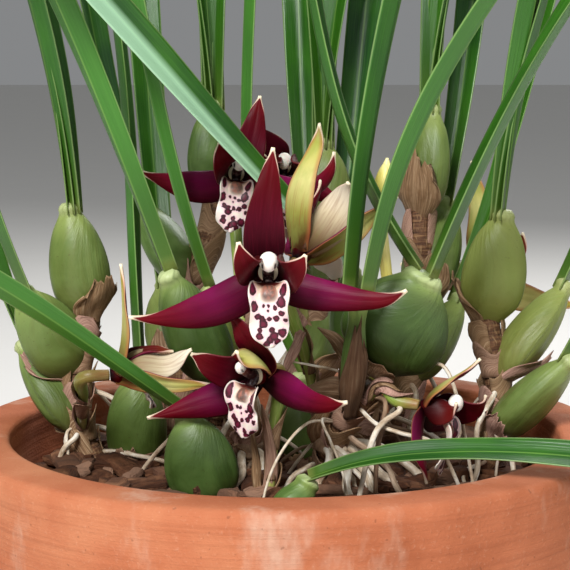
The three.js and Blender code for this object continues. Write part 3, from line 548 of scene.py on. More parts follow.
class Paint:
    """A node material in the making. Its methods add nodes and return their output."""

    def __init__(self, name):
        self.material = bpy.data.materials.new(name)
        self.material.use_nodes = True
        self.tree = self.material.node_tree
        self.shader = self.tree.nodes["Principled BSDF"]

    def plug(self, socket, value):
        if isinstance(value, bpy.types.NodeSocket):
            self.tree.links.new(value, socket)
        else:
            socket.default_value = value

    def node(self, kind, *values, **settings):
        """A new node with its settings made and its first sockets filled."""
        node = self.tree.nodes.new(f"ShaderNode{kind}")
        for name, value in settings.items():
            setattr(node, name, value)
        for socket, value in zip(node.inputs, values):
            self.plug(socket, value)
        return node

    def read(self, layer, part):
        """One number of a piece's layer: part 0, 1 or 2."""
        source = self.node("Attribute", attribute_name=layer)
        return self.node("SeparateXYZ", source.outputs["Vector"]).outputs[part]

    def plus(self, first, second):
        return self.node("Math", first, second, operation="ADD").outputs[0]

    def times(self, first, second):
        return self.node("Math", first, second, operation="MULTIPLY").outputs[0]

    def band(self, value, low, high):
        """0 up to `low` and 1 from `high` on, smooth in between. Where `high` is the lower, it falls."""
        return self.node("MapRange", value, low, high, interpolation_type="SMOOTHSTEP").outputs["Result"]

    def ramp(self, value, *stops):
        """The colour that the stops, each a position and a colour, give for a value."""
        node = self.node("ValToRGB", value)
        elements = node.color_ramp.elements
        for k, (position, code) in enumerate(stops):
            element = elements[k] if k < 2 else elements.new(position)
            element.position = position
            element.color = colour(code)
        return node.outputs["Color"]

    def mix(self, share, first, second):
        node = self.node("Mix", data_type="RGBA")
        named = {socket.identifier: socket for socket in node.inputs}
        for key, value in (("Factor_Float", share), ("A_Color", first), ("B_Color", second)):
            self.plug(named[key], colour(value) if isinstance(value, str) else value)
        return next(socket for socket in node.outputs if socket.identifier == "Result_Color")

    def stain(self, skin, stuff, share, where):
        """A colour with a share of another in it where `where` is 1, and nothing of it where it is 0."""
        return self.mix(self.times(where, share), skin, stuff)

    def stains(self, skin, *rows):
        """A colour with stains on it: each its colour, its share, and a value with its band."""
        for stuff, share, value, low, high in rows:
            skin = self.stain(skin, stuff, share, self.band(value, low, high))
        return skin

    def noise(self, stretch, detail=3, rough=0.55, solid=False):
        """Noise that changes by `stretch` to the millimetre each way, over the surface or in space."""
        if solid:
            source = self.node("TexCoord").outputs["Object"]
            stretch = tuple(s / MM for s in stretch)
        else:
            source = self.node("Attribute", attribute_name="flat").outputs["Vector"]
        where = self.node("VectorMath", source, stretch, operation="MULTIPLY")
        node = self.node("TexNoise", where.outputs[0])
        for name, value in (("Scale", 1), ("Detail", detail), ("Roughness", rough)):
            node.inputs[name].default_value = value
        return node.outputs["Fac"]

    def finish(self, skin, roughness, shine, relief=None, soft=0):
        """The material. `relief` is a height, how many millimetres it stands for, and its strength."""
        values = {"Base Color": skin, "Roughness": roughness, "Specular IOR Level": shine}
        if relief is not None:
            height, millimetres, strength = relief
            bump = self.node("Bump")
            for name, value in (("Strength", strength), ("Distance", millimetres * MM), ("Height", height)):
                self.plug(bump.inputs[name], value)
            values["Normal"] = bump.outputs[0]
        if soft:
            values |= {"Subsurface Weight": soft, "Subsurface Scale": MM}
        for name, value in values.items():
            self.plug(self.shader.inputs[name], value)
        return self.material


def leaf_paint():
    paint = Paint("leaf_green")
    u, v, edge = (paint.read("place", part) for part in range(3))
    luck = paint.read("flat", 2)
    fibres = paint.noise((3.2, 0.05, 40), 4)
    patches = paint.noise((0.1, 0.06, 60), 2)
    green = paint.ramp(luck, (0, "1c4c04"), (0.35, "285e08"), (0.65, "1e4e0a"), (1, "143f18"))
    green = paint.stains(green, ("366e10", 0.6, patches, 0.35, 0.75), ("4f8a2c", 0.25, fibres, 0.4, 0.75))
    green = paint.mix(paint.read("tone", 0), paint.mix(0.3, green, "528a3c"), green)
    base = paint.ramp(u, (0, "7a8644"), (0.015, "42601e"), (0.06, "2e5210"), (1, "285e08"))
    green = paint.mix(paint.band(u, 0.16, 0.0), green, base)
    rib = paint.band(paint.node("Math", v, operation="ABSOLUTE").outputs[0], 0.09, 0.02)
    green = paint.stain(green, "8fb45c", 0.3, rib)
    green = paint.stains(green, ("a9c07c", 0.3, edge, 0.32, 0.1))
    # Painted reflection: a pale mint glare over most of one leaf's upper side.
    green = paint.stain(green, "b6e2bc", 0.75, paint.read("tone", 1))
    green = paint.mix(paint.band(paint.plus(u, paint.times(patches, 0.02)), 0.985, 1.0), green, "8a6a3a")
    return paint.finish(green, 0.36, 0.4, (fibres, 0.12, 0.6))


def bulb_paint():
    paint = Paint("bulb_skin")
    u, luck = paint.read("place", 0), paint.read("flat", 2)
    age, shade = paint.read("tone", 1), paint.read("tone", 2)
    streaks = paint.noise((0.9, 0.09, 50), 5, 0.6)
    clouds = paint.noise((0.16, 0.12, 30))
    skin = paint.ramp(u, (0, "4a3820"), (0.1, "444a1c"), (0.35, "405a20"), (0.68, "557034"),
                      (0.88, "829650"), (0.975, "b8c48c"))
    skin = paint.stains(skin, ("6f8a4a", 0.5, clouds, 0.42, 0.7), ("35501a", 0.4, streaks, 0.45, 0.7),
                        ("9a9a4a", 0.35, luck, 0.6, 1.0))
    skin = paint.mix(age, skin, paint.ramp(streaks, (0.3, "6d6330"), (0.7, "a39a5a")))
    skin = paint.stains(skin, ("4a4120", 0.45, paint.noise((2.2, 2.2, 9), 1), 0.7, 0.76))
    # Painted shade: a bulb is darkened towards deep green by its shade value, less so at its top.
    deep = paint.ramp(clouds, (0.35, "101c04"), (0.65, "263a12"))
    skin = paint.mix(paint.times(shade, paint.band(u, 0.96, 0.78)), skin, deep)
    height = paint.plus(streaks, paint.times(paint.noise((3, 1.2, 20)), 0.25))
    return paint.finish(skin, 0.42, 0.35, (height, 0.28, 0.7))


def bract_paint():
    paint = Paint("dry_bract")
    u, luck = paint.read("place", 0), paint.read("flat", 2)
    fibres = paint.noise((4.5, 0.18, 30), 4, 0.65)
    patches = paint.noise((0.35, 0.3, 12))
    tan = paint.ramp(fibres, (0.25, "4c3420"), (0.5, "8e6e4e"), (0.75, "c2a888"))
    tan = paint.mix(paint.band(luck, 0.3, 1.0), tan, paint.ramp(fibres, (0.25, "6c423a"), (0.7, "cca492")))
    tan = paint.stains(tan, ("6a4a30", 0.5, patches, 0.5, 0.7), ("4f3520", 0.6, u, 0.3, 0),
                       ("3a2016", 0.75, luck, -0.1, -0.9))
    return paint.finish(tan, 0.72, 0.3, (fibres, 0.2, 0.8))


def rhizome_paint():
    paint = Paint("rhizome_bark")
    rings = paint.noise((0.25, 1.6, 20), 4, 0.6)
    fibres = paint.noise((2.4, 0.4, 20))
    brown = paint.ramp(rings, (0.28, "2e1a10"), (0.5, "5d3b24"), (0.7, "8f6a48"))
    brown = paint.stains(brown, ("a98a62", 0.6, fibres, 0.5, 0.75))
    return paint.finish(brown, 0.7, 0.35, (paint.plus(rings, fibres), 0.35, 0.9))


def root_paint():
    paint = Paint("root_velamen")
    luck = paint.read("flat", 2)
    patches = paint.noise((0.5, 0.22, 40), 4, 0.6)
    white = paint.ramp(patches, (0.3, "8a6f55"), (0.48, "c8b59c"), (0.62, "e9e1d2"), (0.8, "f4efe6"))
    brown = paint.ramp(patches, (0.3, "4f3526"), (0.7, "a98a6d"))
    white = paint.mix(paint.band(luck, 0.55, 0.9), white, brown)
    return paint.finish(white, 0.68, 0.35, (paint.plus(patches, paint.noise((4, 1.6, 10))), 0.12, 0.7))


def stalk_paint():
    paint = Paint("stalk_green")
    streaks = paint.noise((2.5, 0.25, 30), 4)
    green = paint.ramp(paint.read("place", 0), (0, "8a7a48"), (0.35, "8f9a4a"), (0.7, "7f9a3c"),
                       (0.95, "8f6a3a"))
    green = paint.stains(green, ("b9b878", 0.5, streaks, 0.45, 0.7))
    return paint.finish(green, 0.4, 0.5, (streaks, 0.1, 0.5))


def petal_paint():
    paint = Paint("petal_red")
    u, edge = paint.read("place", 0), paint.read("place", 2)
    side, magenta_and_highlight, back = (paint.read("tone", part) for part in range(3))
    veins = paint.noise((2.4, 0.14, 17))
    clouds = paint.noise((0.3, 0.16, 23))
    grain = paint.noise((7, 5, 11), 2)
    # The inner side darkens to near black at the base: the tepals' dark red, with painted shade in the
    # throat.
    red = paint.ramp(u, (0, "0c0001"), (0.16, "220002"), (0.4, "3c0002"), (0.75, "480004"), (1, "60080e"))
    magenta = paint.ramp(u, (0, "1c0008"), (0.12, "46081e"), (0.4, "6c0c40"), (0.7, "640620"),
                         (0.93, "62080e"))
    # Magenta: the sepals' own colour, and on the upper half of the lateral sepals a painted highlight.
    red = paint.mix(magenta_and_highlight, red, magenta)
    red = paint.stains(red, ("700c26", 0.15, veins, 0.45, 0.72), ("28000a", 0.3, clouds, 0.5, 0.75))
    olive = paint.ramp(u, (0, "3a160c"), (0.12, "5a3e1a"), (0.3, "8c8840"), (0.55, "c8c07c"),
                       (0.85, "aaa646"), (1, "d0cc98"))
    olive = paint.stains(olive, ("8f9a4c", 0.5, clouds, 0.42, 0.68))
    blush = paint.times(paint.band(veins, 0.5, 0.72), paint.band(u, 0.7, 0.1))
    olive = paint.stain(olive, "8a3c26", 0.6, blush)
    olive = paint.stains(olive, ("a85a3a", 0.55, edge, 1.1, 0.15))
    dark = paint.ramp(u, (0, "1a0204"), (0.3, "3c080a"), (0.7, "5c1412"), (1, "7a3a22"))
    cream = paint.ramp(u, (0, "4a2a18"), (0.2, "85704c"), (0.5, "c4b494"), (0.8, "dccfb8"), (1, "e8dcc8"))
    cream = paint.stains(cream, ("8a6450", 0.45, veins, 0.42, 0.7))
    under = paint.mix(paint.band(back, 0.25, 0.75), dark, olive)
    under = paint.mix(paint.band(back, 1.25, 1.75), under, cream)
    skin = paint.mix(paint.band(side, 0.35, 0.65), under, red)
    reach = paint.plus(-0.08, paint.times(paint.band(u, 0.7, 1.0), 0.32))
    rim = paint.band(paint.plus(edge, paint.times(grain, 0.08)), paint.plus(reach, 0.16), reach)
    rosy = paint.ramp(u, (0.1, "8c2a3c"), (0.7, "c87880"), (0.95, "f0dcc0"))
    skin = paint.stain(skin, rosy, 0.75, rim)
    skin = paint.mix(paint.band(u, 0.955, 0.99), skin, "f1e2c4")
    return paint.finish(skin, 0.45, 0.1, (paint.plus(veins, paint.times(grain, 0.3)), 0.1, 0.55))


def lip_paint():
    paint = Paint("lip_spotted")
    u, edge = paint.read("place", 0), paint.read("place", 2)
    callus, mark = paint.read("tone", 1), paint.read("tone", 2)
    wander = paint.noise((1.4, 1.4, 7))
    grain = paint.noise((6, 6, 13), 2)
    # Near black at the base, where the lip lies in the throat: painted shade.
    lip = paint.ramp(u, (0, "240606"), (0.09, "5a1c14"), (0.16, "d8b8a0"), (0.35, "ecdcd0"), (1, "eaddd0"))
    near = paint.plus(mark, paint.times(paint.plus(wander, -0.5), 0.75))
    lip = paint.stains(lip, ("f2a6c6", 0.55, near, 0.5, 0.0))
    spot = paint.mix(paint.band(near, -0.5, -0.1), "620c2c", "2a020c")
    spot = paint.stains(spot, ("7a1a3c", 0.3, grain, 0.45, 0.7))
    lip = paint.mix(paint.band(near, 0.12, 0.0), lip, spot)
    lip = paint.stains(lip, ("f0e4d8", 0.7, edge, 0.3, 0.05))
    lip = paint.stain(lip, paint.ramp(wander, (0.4, "3c100c"), (0.6, "8c4430")), 0.85, callus)
    return paint.finish(lip, 0.42, 0.45, (paint.plus(wander, paint.times(grain, 0.3)), 0.16, 0.5), 0.08)


def column_paint():
    paint = Paint("column_white")
    u, cap, mark = paint.read("place", 0), paint.read("tone", 1), paint.read("tone", 2)
    grain = paint.noise((1.6, 1.6, 1.6), solid=True)
    # The column's body: its dark maroon deepened to near black as painted shade, paler towards the cap.
    stem = paint.ramp(u, (0, "1c0206"), (0.7, "2c0409"), (1, "8a4a3c"))
    white = paint.mix(cap, stem, "f2e9e0")
    white = paint.stains(white, ("f0d0c4", 0.25, grain, 0.5, 0.75))
    return paint.finish(paint.mix(mark, white, "1d0508"), 0.4, 0.5, (grain, 0.08, 0.5), 0.1)


def bud_paint():
    paint = Paint("bud_skin")
    streaks = paint.noise((1.8, 0.2, 9), 4)
    skin = paint.ramp(paint.read("place", 0), (0, "7d8a38"), (0.3, "aeb04e"), (0.7, "dccf6a"),
                      (1, "eee6a8"))
    skin = paint.stains(skin, ("a8863c", 0.4, streaks, 0.45, 0.7))
    return paint.finish(skin, 0.42, 0.45, (streaks, 0.12, 0.5))


def clay_paint():
    paint = Paint("pot_clay")
    grain = paint.noise((1.6, 1.6, 1.6), 4, 0.6, solid=True)
    patches = paint.noise((0.035, 0.035, 0.035), 4, 0.6, solid=True)
    turning = paint.noise((0.012, 0.012, 0.9), solid=True)
    bloom = paint.noise((0.05, 0.05, 0.02), 5, 0.65, solid=True)
    specks = paint.noise((0.9, 0.9, 0.9), 1, solid=True)
    clay = paint.ramp(patches, (0.3, "9c5636"), (0.5, "b26846"), (0.7, "c07c58"))
    clay = paint.stains(clay, ("8c4a2e", 0.3, turning, 0.45, 0.75), ("d2a184", 0.3, grain, 0.55, 0.8),
                        ("dbc4ae", 0.55, bloom, 0.5, 0.72), ("5c3524", 0.4, specks, 0.72, 0.78))
    return paint.finish(clay, 0.86, 0.25, (paint.plus(grain, paint.times(turning, 1.5)), 0.25, 0.7))


def bark_paint(name, light):
    paint = Paint(name)
    layers = paint.noise((0.18, 0.18, 1.8), 5, 0.65)
    grain = paint.noise((1.1, 0.25, 0.9), 4, 0.6)
    brown = paint.ramp(layers, (0.3, "22130c"), (0.5, "4b2c1b"), (0.68, "7a5238"), (0.85, "a67e5e"))
    brown = paint.stains(brown, ("a8836c", light, paint.read("flat", 2), 0.4, 1.0),
                         ("2e1a12", 0.5, grain, 0.5, 0.75))
    return paint.finish(brown, 0.88, 0.2, (paint.plus(layers, grain), 0.7, 0.9))


def floor_paint():
    paint = Paint("floor_pale")
    mottle = paint.noise((0.02, 0.02, 0.02), 2, solid=True)
    return paint.finish(paint.stain("e6e4e0", "dddbd6", 0.3, mottle), 0.9, 0.1)


PAINTS = {
    "clay": clay_paint(), "bed": bark_paint("bark_bed", 0.1), "chip": bark_paint("bark_chip", 0.55),
    "rhizome": rhizome_paint(), "bract": bract_paint(), "root": root_paint(), "bulb": bulb_paint(),
    "leaf": leaf_paint(), "stalk": stalk_paint(), "petal": petal_paint(), "lip": lip_paint(),
    "column": column_paint(), "bud": bud_paint(), "floor": floor_paint(),
}


# Pot
def rounded(outline, radius, steps=5):
    """An outline with each of its inner corners rounded."""
    points = [np.asarray(p, float) for p in outline]
    made = [points[0]]
    for before, corner, after in zip(points, points[1:], points[2:]):
        ways = [(before - corner), (after - corner)]
        cut = [min(radius, np.linalg.norm(way) * 0.45) for way in ways]
        start, end = (corner + unit(way) * reach for way, reach in zip(ways, cut))
        for t in np.linspace(0, 1, steps):
            made.append((1 - t) ** 2 * start + 2 * t * (1 - t) * corner + t**2 * end)
    return np.array([*made, points[-1]])


def cavity(z):
    slope = (POT["shoulder"] - POT["foot"]) / UNDER_RIM
    return POT["foot"] + slope * min(z, UNDER_RIM) - POT["wall"]


def refined(outline, longest=4.0):
    """The same outline with points added along its long stretches."""
    made = [outline[0]]
    for start, end in zip(outline, outline[1:]):
        count = max(1, math.ceil(np.linalg.norm(end - start) / longest))
        made.extend(start + (end - start) * k / count for k in range(1, count + 1))
    return np.array(made)


def add_pot():
    """The pot, turned on a wheel and never quite round, with its drain holes cut through the floor."""
    top, rim, inner = POT["height"], POT["rim"], cavity(UNDER_RIM)
    outline = rounded([
        (0.01, 0), (POT["foot"], 0), (POT["shoulder"], UNDER_RIM), (rim - 1, UNDER_RIM), (rim, top),
        (inner + POT_EDGE, top), (inner + POT_EDGE, top - 4), (inner, UNDER_RIM),
        (cavity(POT["floor"]), POT["floor"]), (0.01, POT["floor"]),
    ], 1.8)
    radius, height = refined(outline).T[..., None]
    radius = radius + 0.12 * np.sin(height * 1.7) * (radius > 20)
    angle = -turns(POT_SIDES)
    reach = radius * (1 + 0.0016 * np.sin(2 * angle + 0.7) + 0.0008 * np.sin(5 * angle))
    surface = Surface()
    surface.rings(together(reach * np.cos(angle), reach * np.sin(angle), height))
    pot = surface.piece("clay_pot", "clay", "clay", ["pot"])
    for k in range(DRAIN["count"]):
        bearing = (k + 0.25) / DRAIN["count"] * 2 * math.pi
        x, y = DRAIN["ring"] * math.cos(bearing), DRAIN["ring"] * math.sin(bearing)
        bore = Surface()
        bore.rings(tube_rings([(x, y, -5), (x, y, 5), (x, y, 15)], [DRAIN["radius"]] * 2, 32, 2))
        cutter = placed("cutter", bore.mesh("cutter"))
        cut = pot.modifiers.new("drain", "BOOLEAN")
        cut.object = cutter
        cut.operation = "DIFFERENCE"
        bpy.context.view_layer.objects.active = pot
        bpy.ops.object.modifier_apply(modifier="drain")
        bpy.data.objects.remove(cutter)
    pot.data.set_sharp_from_angle(angle=math.radians(50))


# Bark
def lumps(points, scale, seed):
    """Smooth noise from -1 to 1 at some points."""
    return np.array([noise.noise(Vector(p) * scale + Vector((seed, 0, 0))) for p in points])


def add_bark():
    reach = cavity(UNDER_RIM) - GAP
    rows, sides = 40, 96
    radii = np.linspace(reach, 0.3, rows)
    angle = turns(sides)
    top = together(radii[:, None] * np.cos(angle), radii[:, None] * np.sin(angle), BARK_SURFACE)
    flat_points = top.reshape(-1, 3)
    rise = lumps(flat_points, 0.12, 3) * 2.2 + lumps(flat_points, 0.4, 9)
    top[..., 2] += rise.reshape(rows, sides)
    low = POT["floor"] + GAP
    skirt = [together(r * np.cos(angle), r * np.sin(angle), z)
             for r, z in ((cavity(low) - GAP, low), (reach, UNDER_RIM), (reach, BARK_SURFACE - 6))]
    bed = Surface()
    rings = np.concatenate([np.array(skirt), top])
    bed.rings(rings[:, ::-1])
    bed.piece("bark_bed", "bed", "bark", ["bark_mix"])
    add_chips(reach)


def add_chips(reach):
    chips = Surface()
    roll = dice(SEEDS["chips"])
    golden = math.pi * (3 - math.sqrt(5))
    for k in range(CHIPS):
        out = (reach - 5) * math.sqrt((k + 0.5) / CHIPS)
        size = 5 + 8.5 * next(roll) ** 1.6
        thick = 1.6 + 2.2 * next(roll)
        place = frame_at((0, 0, 0), 360 * next(roll), 70 + 36 * next(roll), 40 * (next(roll) - 0.5))
        wide = size * (0.45 + 0.35 * next(roll))
        centre = np.array([out * math.cos(k * golden), out * math.sin(k * golden),
                           BARK_SURFACE + 0.4 + 2.2 * next(roll)])
        luck = next(roll)
        rows, sides = 7, 14
        angle = turns(sides)
        square = np.maximum(np.abs(np.cos(angle)), np.abs(np.sin(angle))) ** -0.75
        rings = []
        for level in np.linspace(-1, 1, rows):
            swell = (1 - abs(level) ** 5 * 0.3) * square
            x = wide / 2 * swell * np.cos(angle)
            y = thick / 2 * swell * np.sin(angle)
            rings.append(together(x, y, level * size / 2))
        rings = np.array(rings)
        shift = lumps(rings.reshape(-1, 3), 0.33, 17 * luck + k).reshape(rows, sides, 1)
        rings = rings * (1 + 0.34 * shift)
        chips.rings(centre + rings @ np.array([place.right, place.front, place.up]), luck)
    piece = chips.piece("bark_chips", "chip", "bark")
    piece.data.set_sharp_from_angle(angle=math.radians(38))


# Bulbs and leaves
def bulb_frame(bulb):
    low, high = np.array(bulb["foot"], float), np.array(bulb["tip"], float)
    axis = unit(high - low)
    bearing = math.radians(bulb.get("face", -90))
    side = unit(np.cross(axis, (math.cos(bearing), math.sin(bearing), 0)))
    return low, high, axis, side, np.cross(side, axis)


def bulb_point(bulb, t, angle, stand=0):
    """Points of a bulb's skin at shares of its height and angles round it, standing off it a little."""
    low, high, _, side, front = bulb_frame(bulb)
    outline = (*BULB_OUTLINE[:-1], bulb.get("neck", 0.3))
    swell = along(outline, np.clip(t, 0, 1))
    wide = bulb["wide"] / 2 * swell * BULB_GIRTH + stand
    deep = bulb["deep"] / 2 * np.maximum(swell, BULB_LEAST_DEPTH) * BULB_GIRTH + stand
    level = low + (high - low) * np.asarray(t)[..., None]
    x, y = wide * np.cos(angle), deep * np.sin(angle) * (1 - 0.1 * np.cos(angle) ** 2)
    return level + side * x[..., None] + front * y[..., None]


def add_bulb(surface, bulb, luck, age=0):
    """A pseudobulb with a pale collar where its leaf springs."""
    sides, rows = 44, 42
    height = np.linalg.norm(np.subtract(bulb["tip"], bulb["foot"]))
    angle = turns(sides)
    collar = 1.1 / height
    t = np.linspace(0, 1 + collar, rows)
    tt, aa = np.meshgrid(t, angle, indexing="ij")
    ridges = np.cos(7 * aa + 9 * luck) + 0.5 * np.cos(12 * aa + 4 * luck + 3 * tt)
    ridges = ridges * np.sin(np.pi * np.clip(tt, 0, 1)) * (0.07 + 0.22 * age)
    lip = 0.45 * hump((tt - 1) / (0.6 * collar))
    foot = -0.5 * hump(tt / 0.03)
    close = -0.5 * np.clip((tt - 1) / collar, 0, 1) ** 2
    rings = bulb_point(bulb, tt, aa, ridges + lip + foot + close)
    # The mark layer carries how much painted shade darkens the bulb.
    surface.rings(rings, luck, age, bulb.get("shade", 0))


def add_bract(surface, bulb, start, top, middle, spread, luck, flare=1.4):
    """A papery sheath that wraps a bulb from its foot, with a torn, pointed end."""
    ss, ww = shares = grid(22, 16)
    torn = 0.08 * np.sin(9 * ww + 20 * luck) + 0.05 * np.sin(23 * ww + 50 * luck)
    reach = start + (top - start) * ss * (1 - 0.35 * np.abs(ww) ** 1.6 + torn * ss)
    angle = np.radians(middle) + np.radians(spread) * ww * (1 - 0.55 * ss**2)
    stand = 0.35 + flare * ss**2.2 + 0.18 * np.sin(5 * ww + 8 * ss + 9 * luck)
    surface.paper(bulb_point(bulb, reach, angle, stand), shares, ww * bulb["wide"] / 2, 12, luck, 0.14)


def leaf_blade(leaf):
    width = leaf.get("width", LEAF_WIDTH)
    return {"length": leaf["length"], "around": (90, 90), "rise": tuple(-a for a in leaf["lean"]),
            "twist": leaf.get("twist", (0, 0)), "half": tuple(share * width / 2 for share in LEAF_HALF),
            "cup": LEAF_FOLD}


def leaf_foot(growth, above, leaf):
    low, high = np.array(growth["foot"], float), np.array(growth["tip"], float)
    return high + unit(high - low) * above + leaf.get("offset", (0, 0, 0))


def add_leaf(surface, at, leaf, luck):
    """A folded leaf with a keel, its margins a little wavy."""
    def thick(u, v):
        keel = 0.5 * hump(v / 0.09) * (1 - 0.6 * u)
        return (0.5 - 0.26 * v**2) * (1 - 0.35 * u) + keel

    # Where the painted reflection lies: one half of the upper side, reaching a little past the keel.
    def painted_reflection(u, v):
        side = leaf.get("painted_reflection", 0)
        return np.clip(6 * (side * v + 0.3 * abs(side)), 0, 1)

    def wave(u, v):
        return 0.22 * np.sin(2 * np.pi * (3 * u + luck)) * v * np.abs(v) * np.sin(np.pi * u)

    place = frame_at(at, leaf["toward"] - 90)
    rows = round(leaf["length"] / 2.6)
    add_blade(surface, leaf_blade(leaf), place, rows, 12, luck, thick, wave, painted_reflection, folded=True)


def add_front_growths():
    roll = dice(SEEDS["growths"])
    for name, growth in GROWTHS.items():
        luck = next(roll)
        bulb = Surface()
        add_bulb(bulb, growth, luck)
        bulb.piece(f"pseudobulb_{name}", "bulb", "bulb", [f"bulb_{name}"])
        sheaths = Surface()
        for start, middle, flare in ((-0.05, 60 + 60 * luck, 0.5), (-0.03, 250 + 50 * luck, 0.8)):
            top = growth.get("sheath", 0.3) * (0.8 + 0.4 * next(roll))
            luck_of_bract = next(roll) - growth.get("withered", 0)
            add_bract(sheaths, growth, start, top, middle, 80, luck_of_bract, flare)
        sheaths.piece(f"sheath_{name}", "bract", "rhizome")
        leaves = growth["leaves"]
        for k, leaf in enumerate(leaves):
            label = f"{name}_{k + 1}" if len(leaves) > 1 else name
            blade = Surface()
            add_leaf(blade, leaf_foot(growth, LEAF_CLEAR, leaf), leaf, next(roll))
            blade.piece(f"blade_{label}", "leaf", "leaf", [f"leaf_{label}"])


def growths_of(stem):
    """The growths of a leafy stem, by the same rule as in the frame."""
    roll = dice(stem["seed"])
    fan = stem["fan"]
    growths = []
    for k in range(STEM_BULBS):
        last = k == STEM_BULBS - 1
        toward = fan[0] + (fan[1] - fan[0]) * ((k * 0.618 + 0.3 * next(roll)) % 1)
        lean = 8 if last else 30 + 14 * next(roll)
        out = frame_at((0, 0, 0), toward + 90).front
        share = LOWEST_BULB + (0.98 - LOWEST_BULB) * k / (STEM_BULBS - 1)
        sprout = walk(stem["path"], share)[0]
        axis = np.array([0, 0, math.cos(math.radians(lean))]) + out * math.sin(math.radians(lean))
        tip = sprout + axis * (24 - 3 * next(roll))
        growth = {"foot": sprout, "tip": tip, "wide": 14 - 2 * next(roll), "deep": 9,
                  "face": toward + 90 * math.floor(2 * next(roll) + 0.5)}
        bearings = [toward - 32, toward, toward + 32] if last else [toward]
        growth["leaves"] = [
            {"toward": bearing, "length": 190 + 60 * next(roll),
             "lean": (lean * 0.7, 14, 18, 26 + 8 * next(roll), 40, 56 + 14 * next(roll)),
             "twist": (0, 80 * next(roll) - 40, 80 * next(roll) - 40)}
            for bearing in bearings
        ]
        growths.append(growth)
    return growths


def add_leafy_stems():
    roll = dice(SEEDS["stems"])
    for name, stem in STEMS.items():
        node = f"stem_{name}"
        climbing, bulbs, leaves, sheaths = Surface(), Surface(), Surface(), Surface()
        climbing.rings(tube_rings(stem["path"], RHIZOME_RADII, 20, 60, knobs), next(roll))
        add_rhizome_bracts(sheaths, stem["path"], next(roll))
        for growth in growths_of(stem):
            luck = next(roll)
            add_bulb(bulbs, growth, luck, age=0.25 * next(roll))
            add_bract(sheaths, growth, -0.03, 0.3 + 0.3 * next(roll), 360 * luck, 85, next(roll))
            for leaf in growth["leaves"]:
                add_leaf(leaves, leaf_foot(growth, LEAF_SUNK, leaf), leaf, next(roll))
        climbing.piece(f"{node}_rhizome", "rhizome", "rhizome", [node])
        bulbs.piece(f"{node}_bulbs", "bulb", "bulb", [node])
        leaves.piece(f"{node}_leaves", "leaf", "leaf", [node])
        sheaths.piece(f"{node}_sheaths", "bract", "rhizome", [node])


# Rhizomes and roots
def knobs(share, angle):
    """Bract scars round a rhizome."""
    return 1 + 0.05 * math.sin(60 * share) + 0.03 * np.cos(3 * angle + 7 * share)


def add_rhizome_bracts(surface, path, luck):
    """Overlapping papery bracts along a rhizome, each open at its upper end."""
    ss, ww = shares = grid(10, 20)
    for k in range(6):
        share = 0.16 + 0.13 * k + ss * (0.17 + 0.05 * np.sin(7 * ww + 11 * luck + k))
        angle = np.radians(150) * ww + 2.4 * k + 9 * luck
        radius = 2.75 + 0.25 * (k % 2) + 0.9 * ss**2
        points = wrapped(path, np.clip(share, 0, 1), angle, radius, (0.2, 0.9, 0.3))
        surface.paper(points, shares, angle * radius, 5, (luck + 0.37 * k) % 1, 0.16)


def add_rhizomes():
    roll = dice(SEEDS["rhizomes"])
    for name, path in RHIZOMES.items():
        core, bracts = Surface(), Surface()
        core.rings(tube_rings(path, RHIZOME_RADII, 20, 60, knobs), next(roll))
        add_rhizome_bracts(bracts, path, next(roll))
        core.piece(f"climbing_{name}", "rhizome", "rhizome", [f"rhizome_{name}"])
        bracts.piece(f"bracts_{name}", "bract", "rhizome")


def place_on(spot):
    name, share = spot
    path = RHIZOMES[name] if name in RHIZOMES else STEMS[name]["path"]
    return walk(path, share)[0]


def add_root(surface, start, end, radius, luck, sag=2.0):
    """A root from a rhizome down into the bark, never quite straight."""
    start, end = np.asarray(start, float), np.asarray(end, float)
    sideways = unit(np.cross(end - start, (0, 0, 1)))
    points = [start]
    for k in range(1, 6):
        share = k / 6
        bend = sideways * math.sin(3 * math.pi * share + 6 * luck) * 0.9
        lift = np.array([0, 0, sag * 4 * share * (1 - share)])
        points.append(start + (end - start) * share + bend + lift)
    points.append(end)
    surface.rings(tube_rings(points, [radius * swell for swell in ROOT_SWELL], 12, 40), luck)


def lobes(share, angle):
    """The uneven skin of the knot that a bunch of roots springs from."""
    return 1 + 0.08 * np.sin(4 * angle + 9 * share)


def add_roots():
    roll = dice(SEEDS["roots"])
    for name, bunch in ROOTS.items():
        surface = Surface()
        crown = place_on(bunch["on"])
        knot = [crown - (0, 0, 2.6), crown - (0, 0, 1), crown + (0, 0, 1), crown + (0, 0, 2.6)]
        surface.rings(tube_rings(knot, [1.6, 3.6, 3.8, 3.4, 1.5], 24, 12, lobes), 0.9)
        for k, end in enumerate(bunch["ends"]):
            add_root(surface, crown, np.array(end) - (0, 0, 1.5), 0.85, 0.5 * next(roll), 2 + k % 3)
        surface.piece(f"root_bunch_{name}", "root", "root", [f"roots_{name}"])


def add_fine_roots():
    """Thin roots that hang from every rhizome and run over the bark."""
    surface = Surface()
    roll = dice(SEEDS["fine_roots"])
    hosts = [*RHIZOMES.values(), *(stem["path"] for stem in STEMS.values())]
    for path in hosts:
        for _ in range(FINE_ROOTS):
            start = walk(path, 0.2 + 0.6 * next(roll))[0]
            bearing, reach = 2 * math.pi * next(roll), 9 + 15 * next(roll)
            end = np.array([start[0] + reach * math.cos(bearing), start[1] + reach * math.sin(bearing), 0])
            far = np.linalg.norm(end[:2])
            end[:2] *= min(1, FINE_ROOTS_REACH / far)
            end[2] = BARK_SURFACE - 0.5
            add_root(surface, start, end, 0.28 + 0.3 * next(roll), next(roll), 1 + 4 * next(roll))
    for points, radius, luck in THREADS:
        surface.rings(tube_rings(points, [radius, radius * 1.1, radius * 0.9], 10, 40), luck)
    surface.piece("fine_roots", "root", "root")


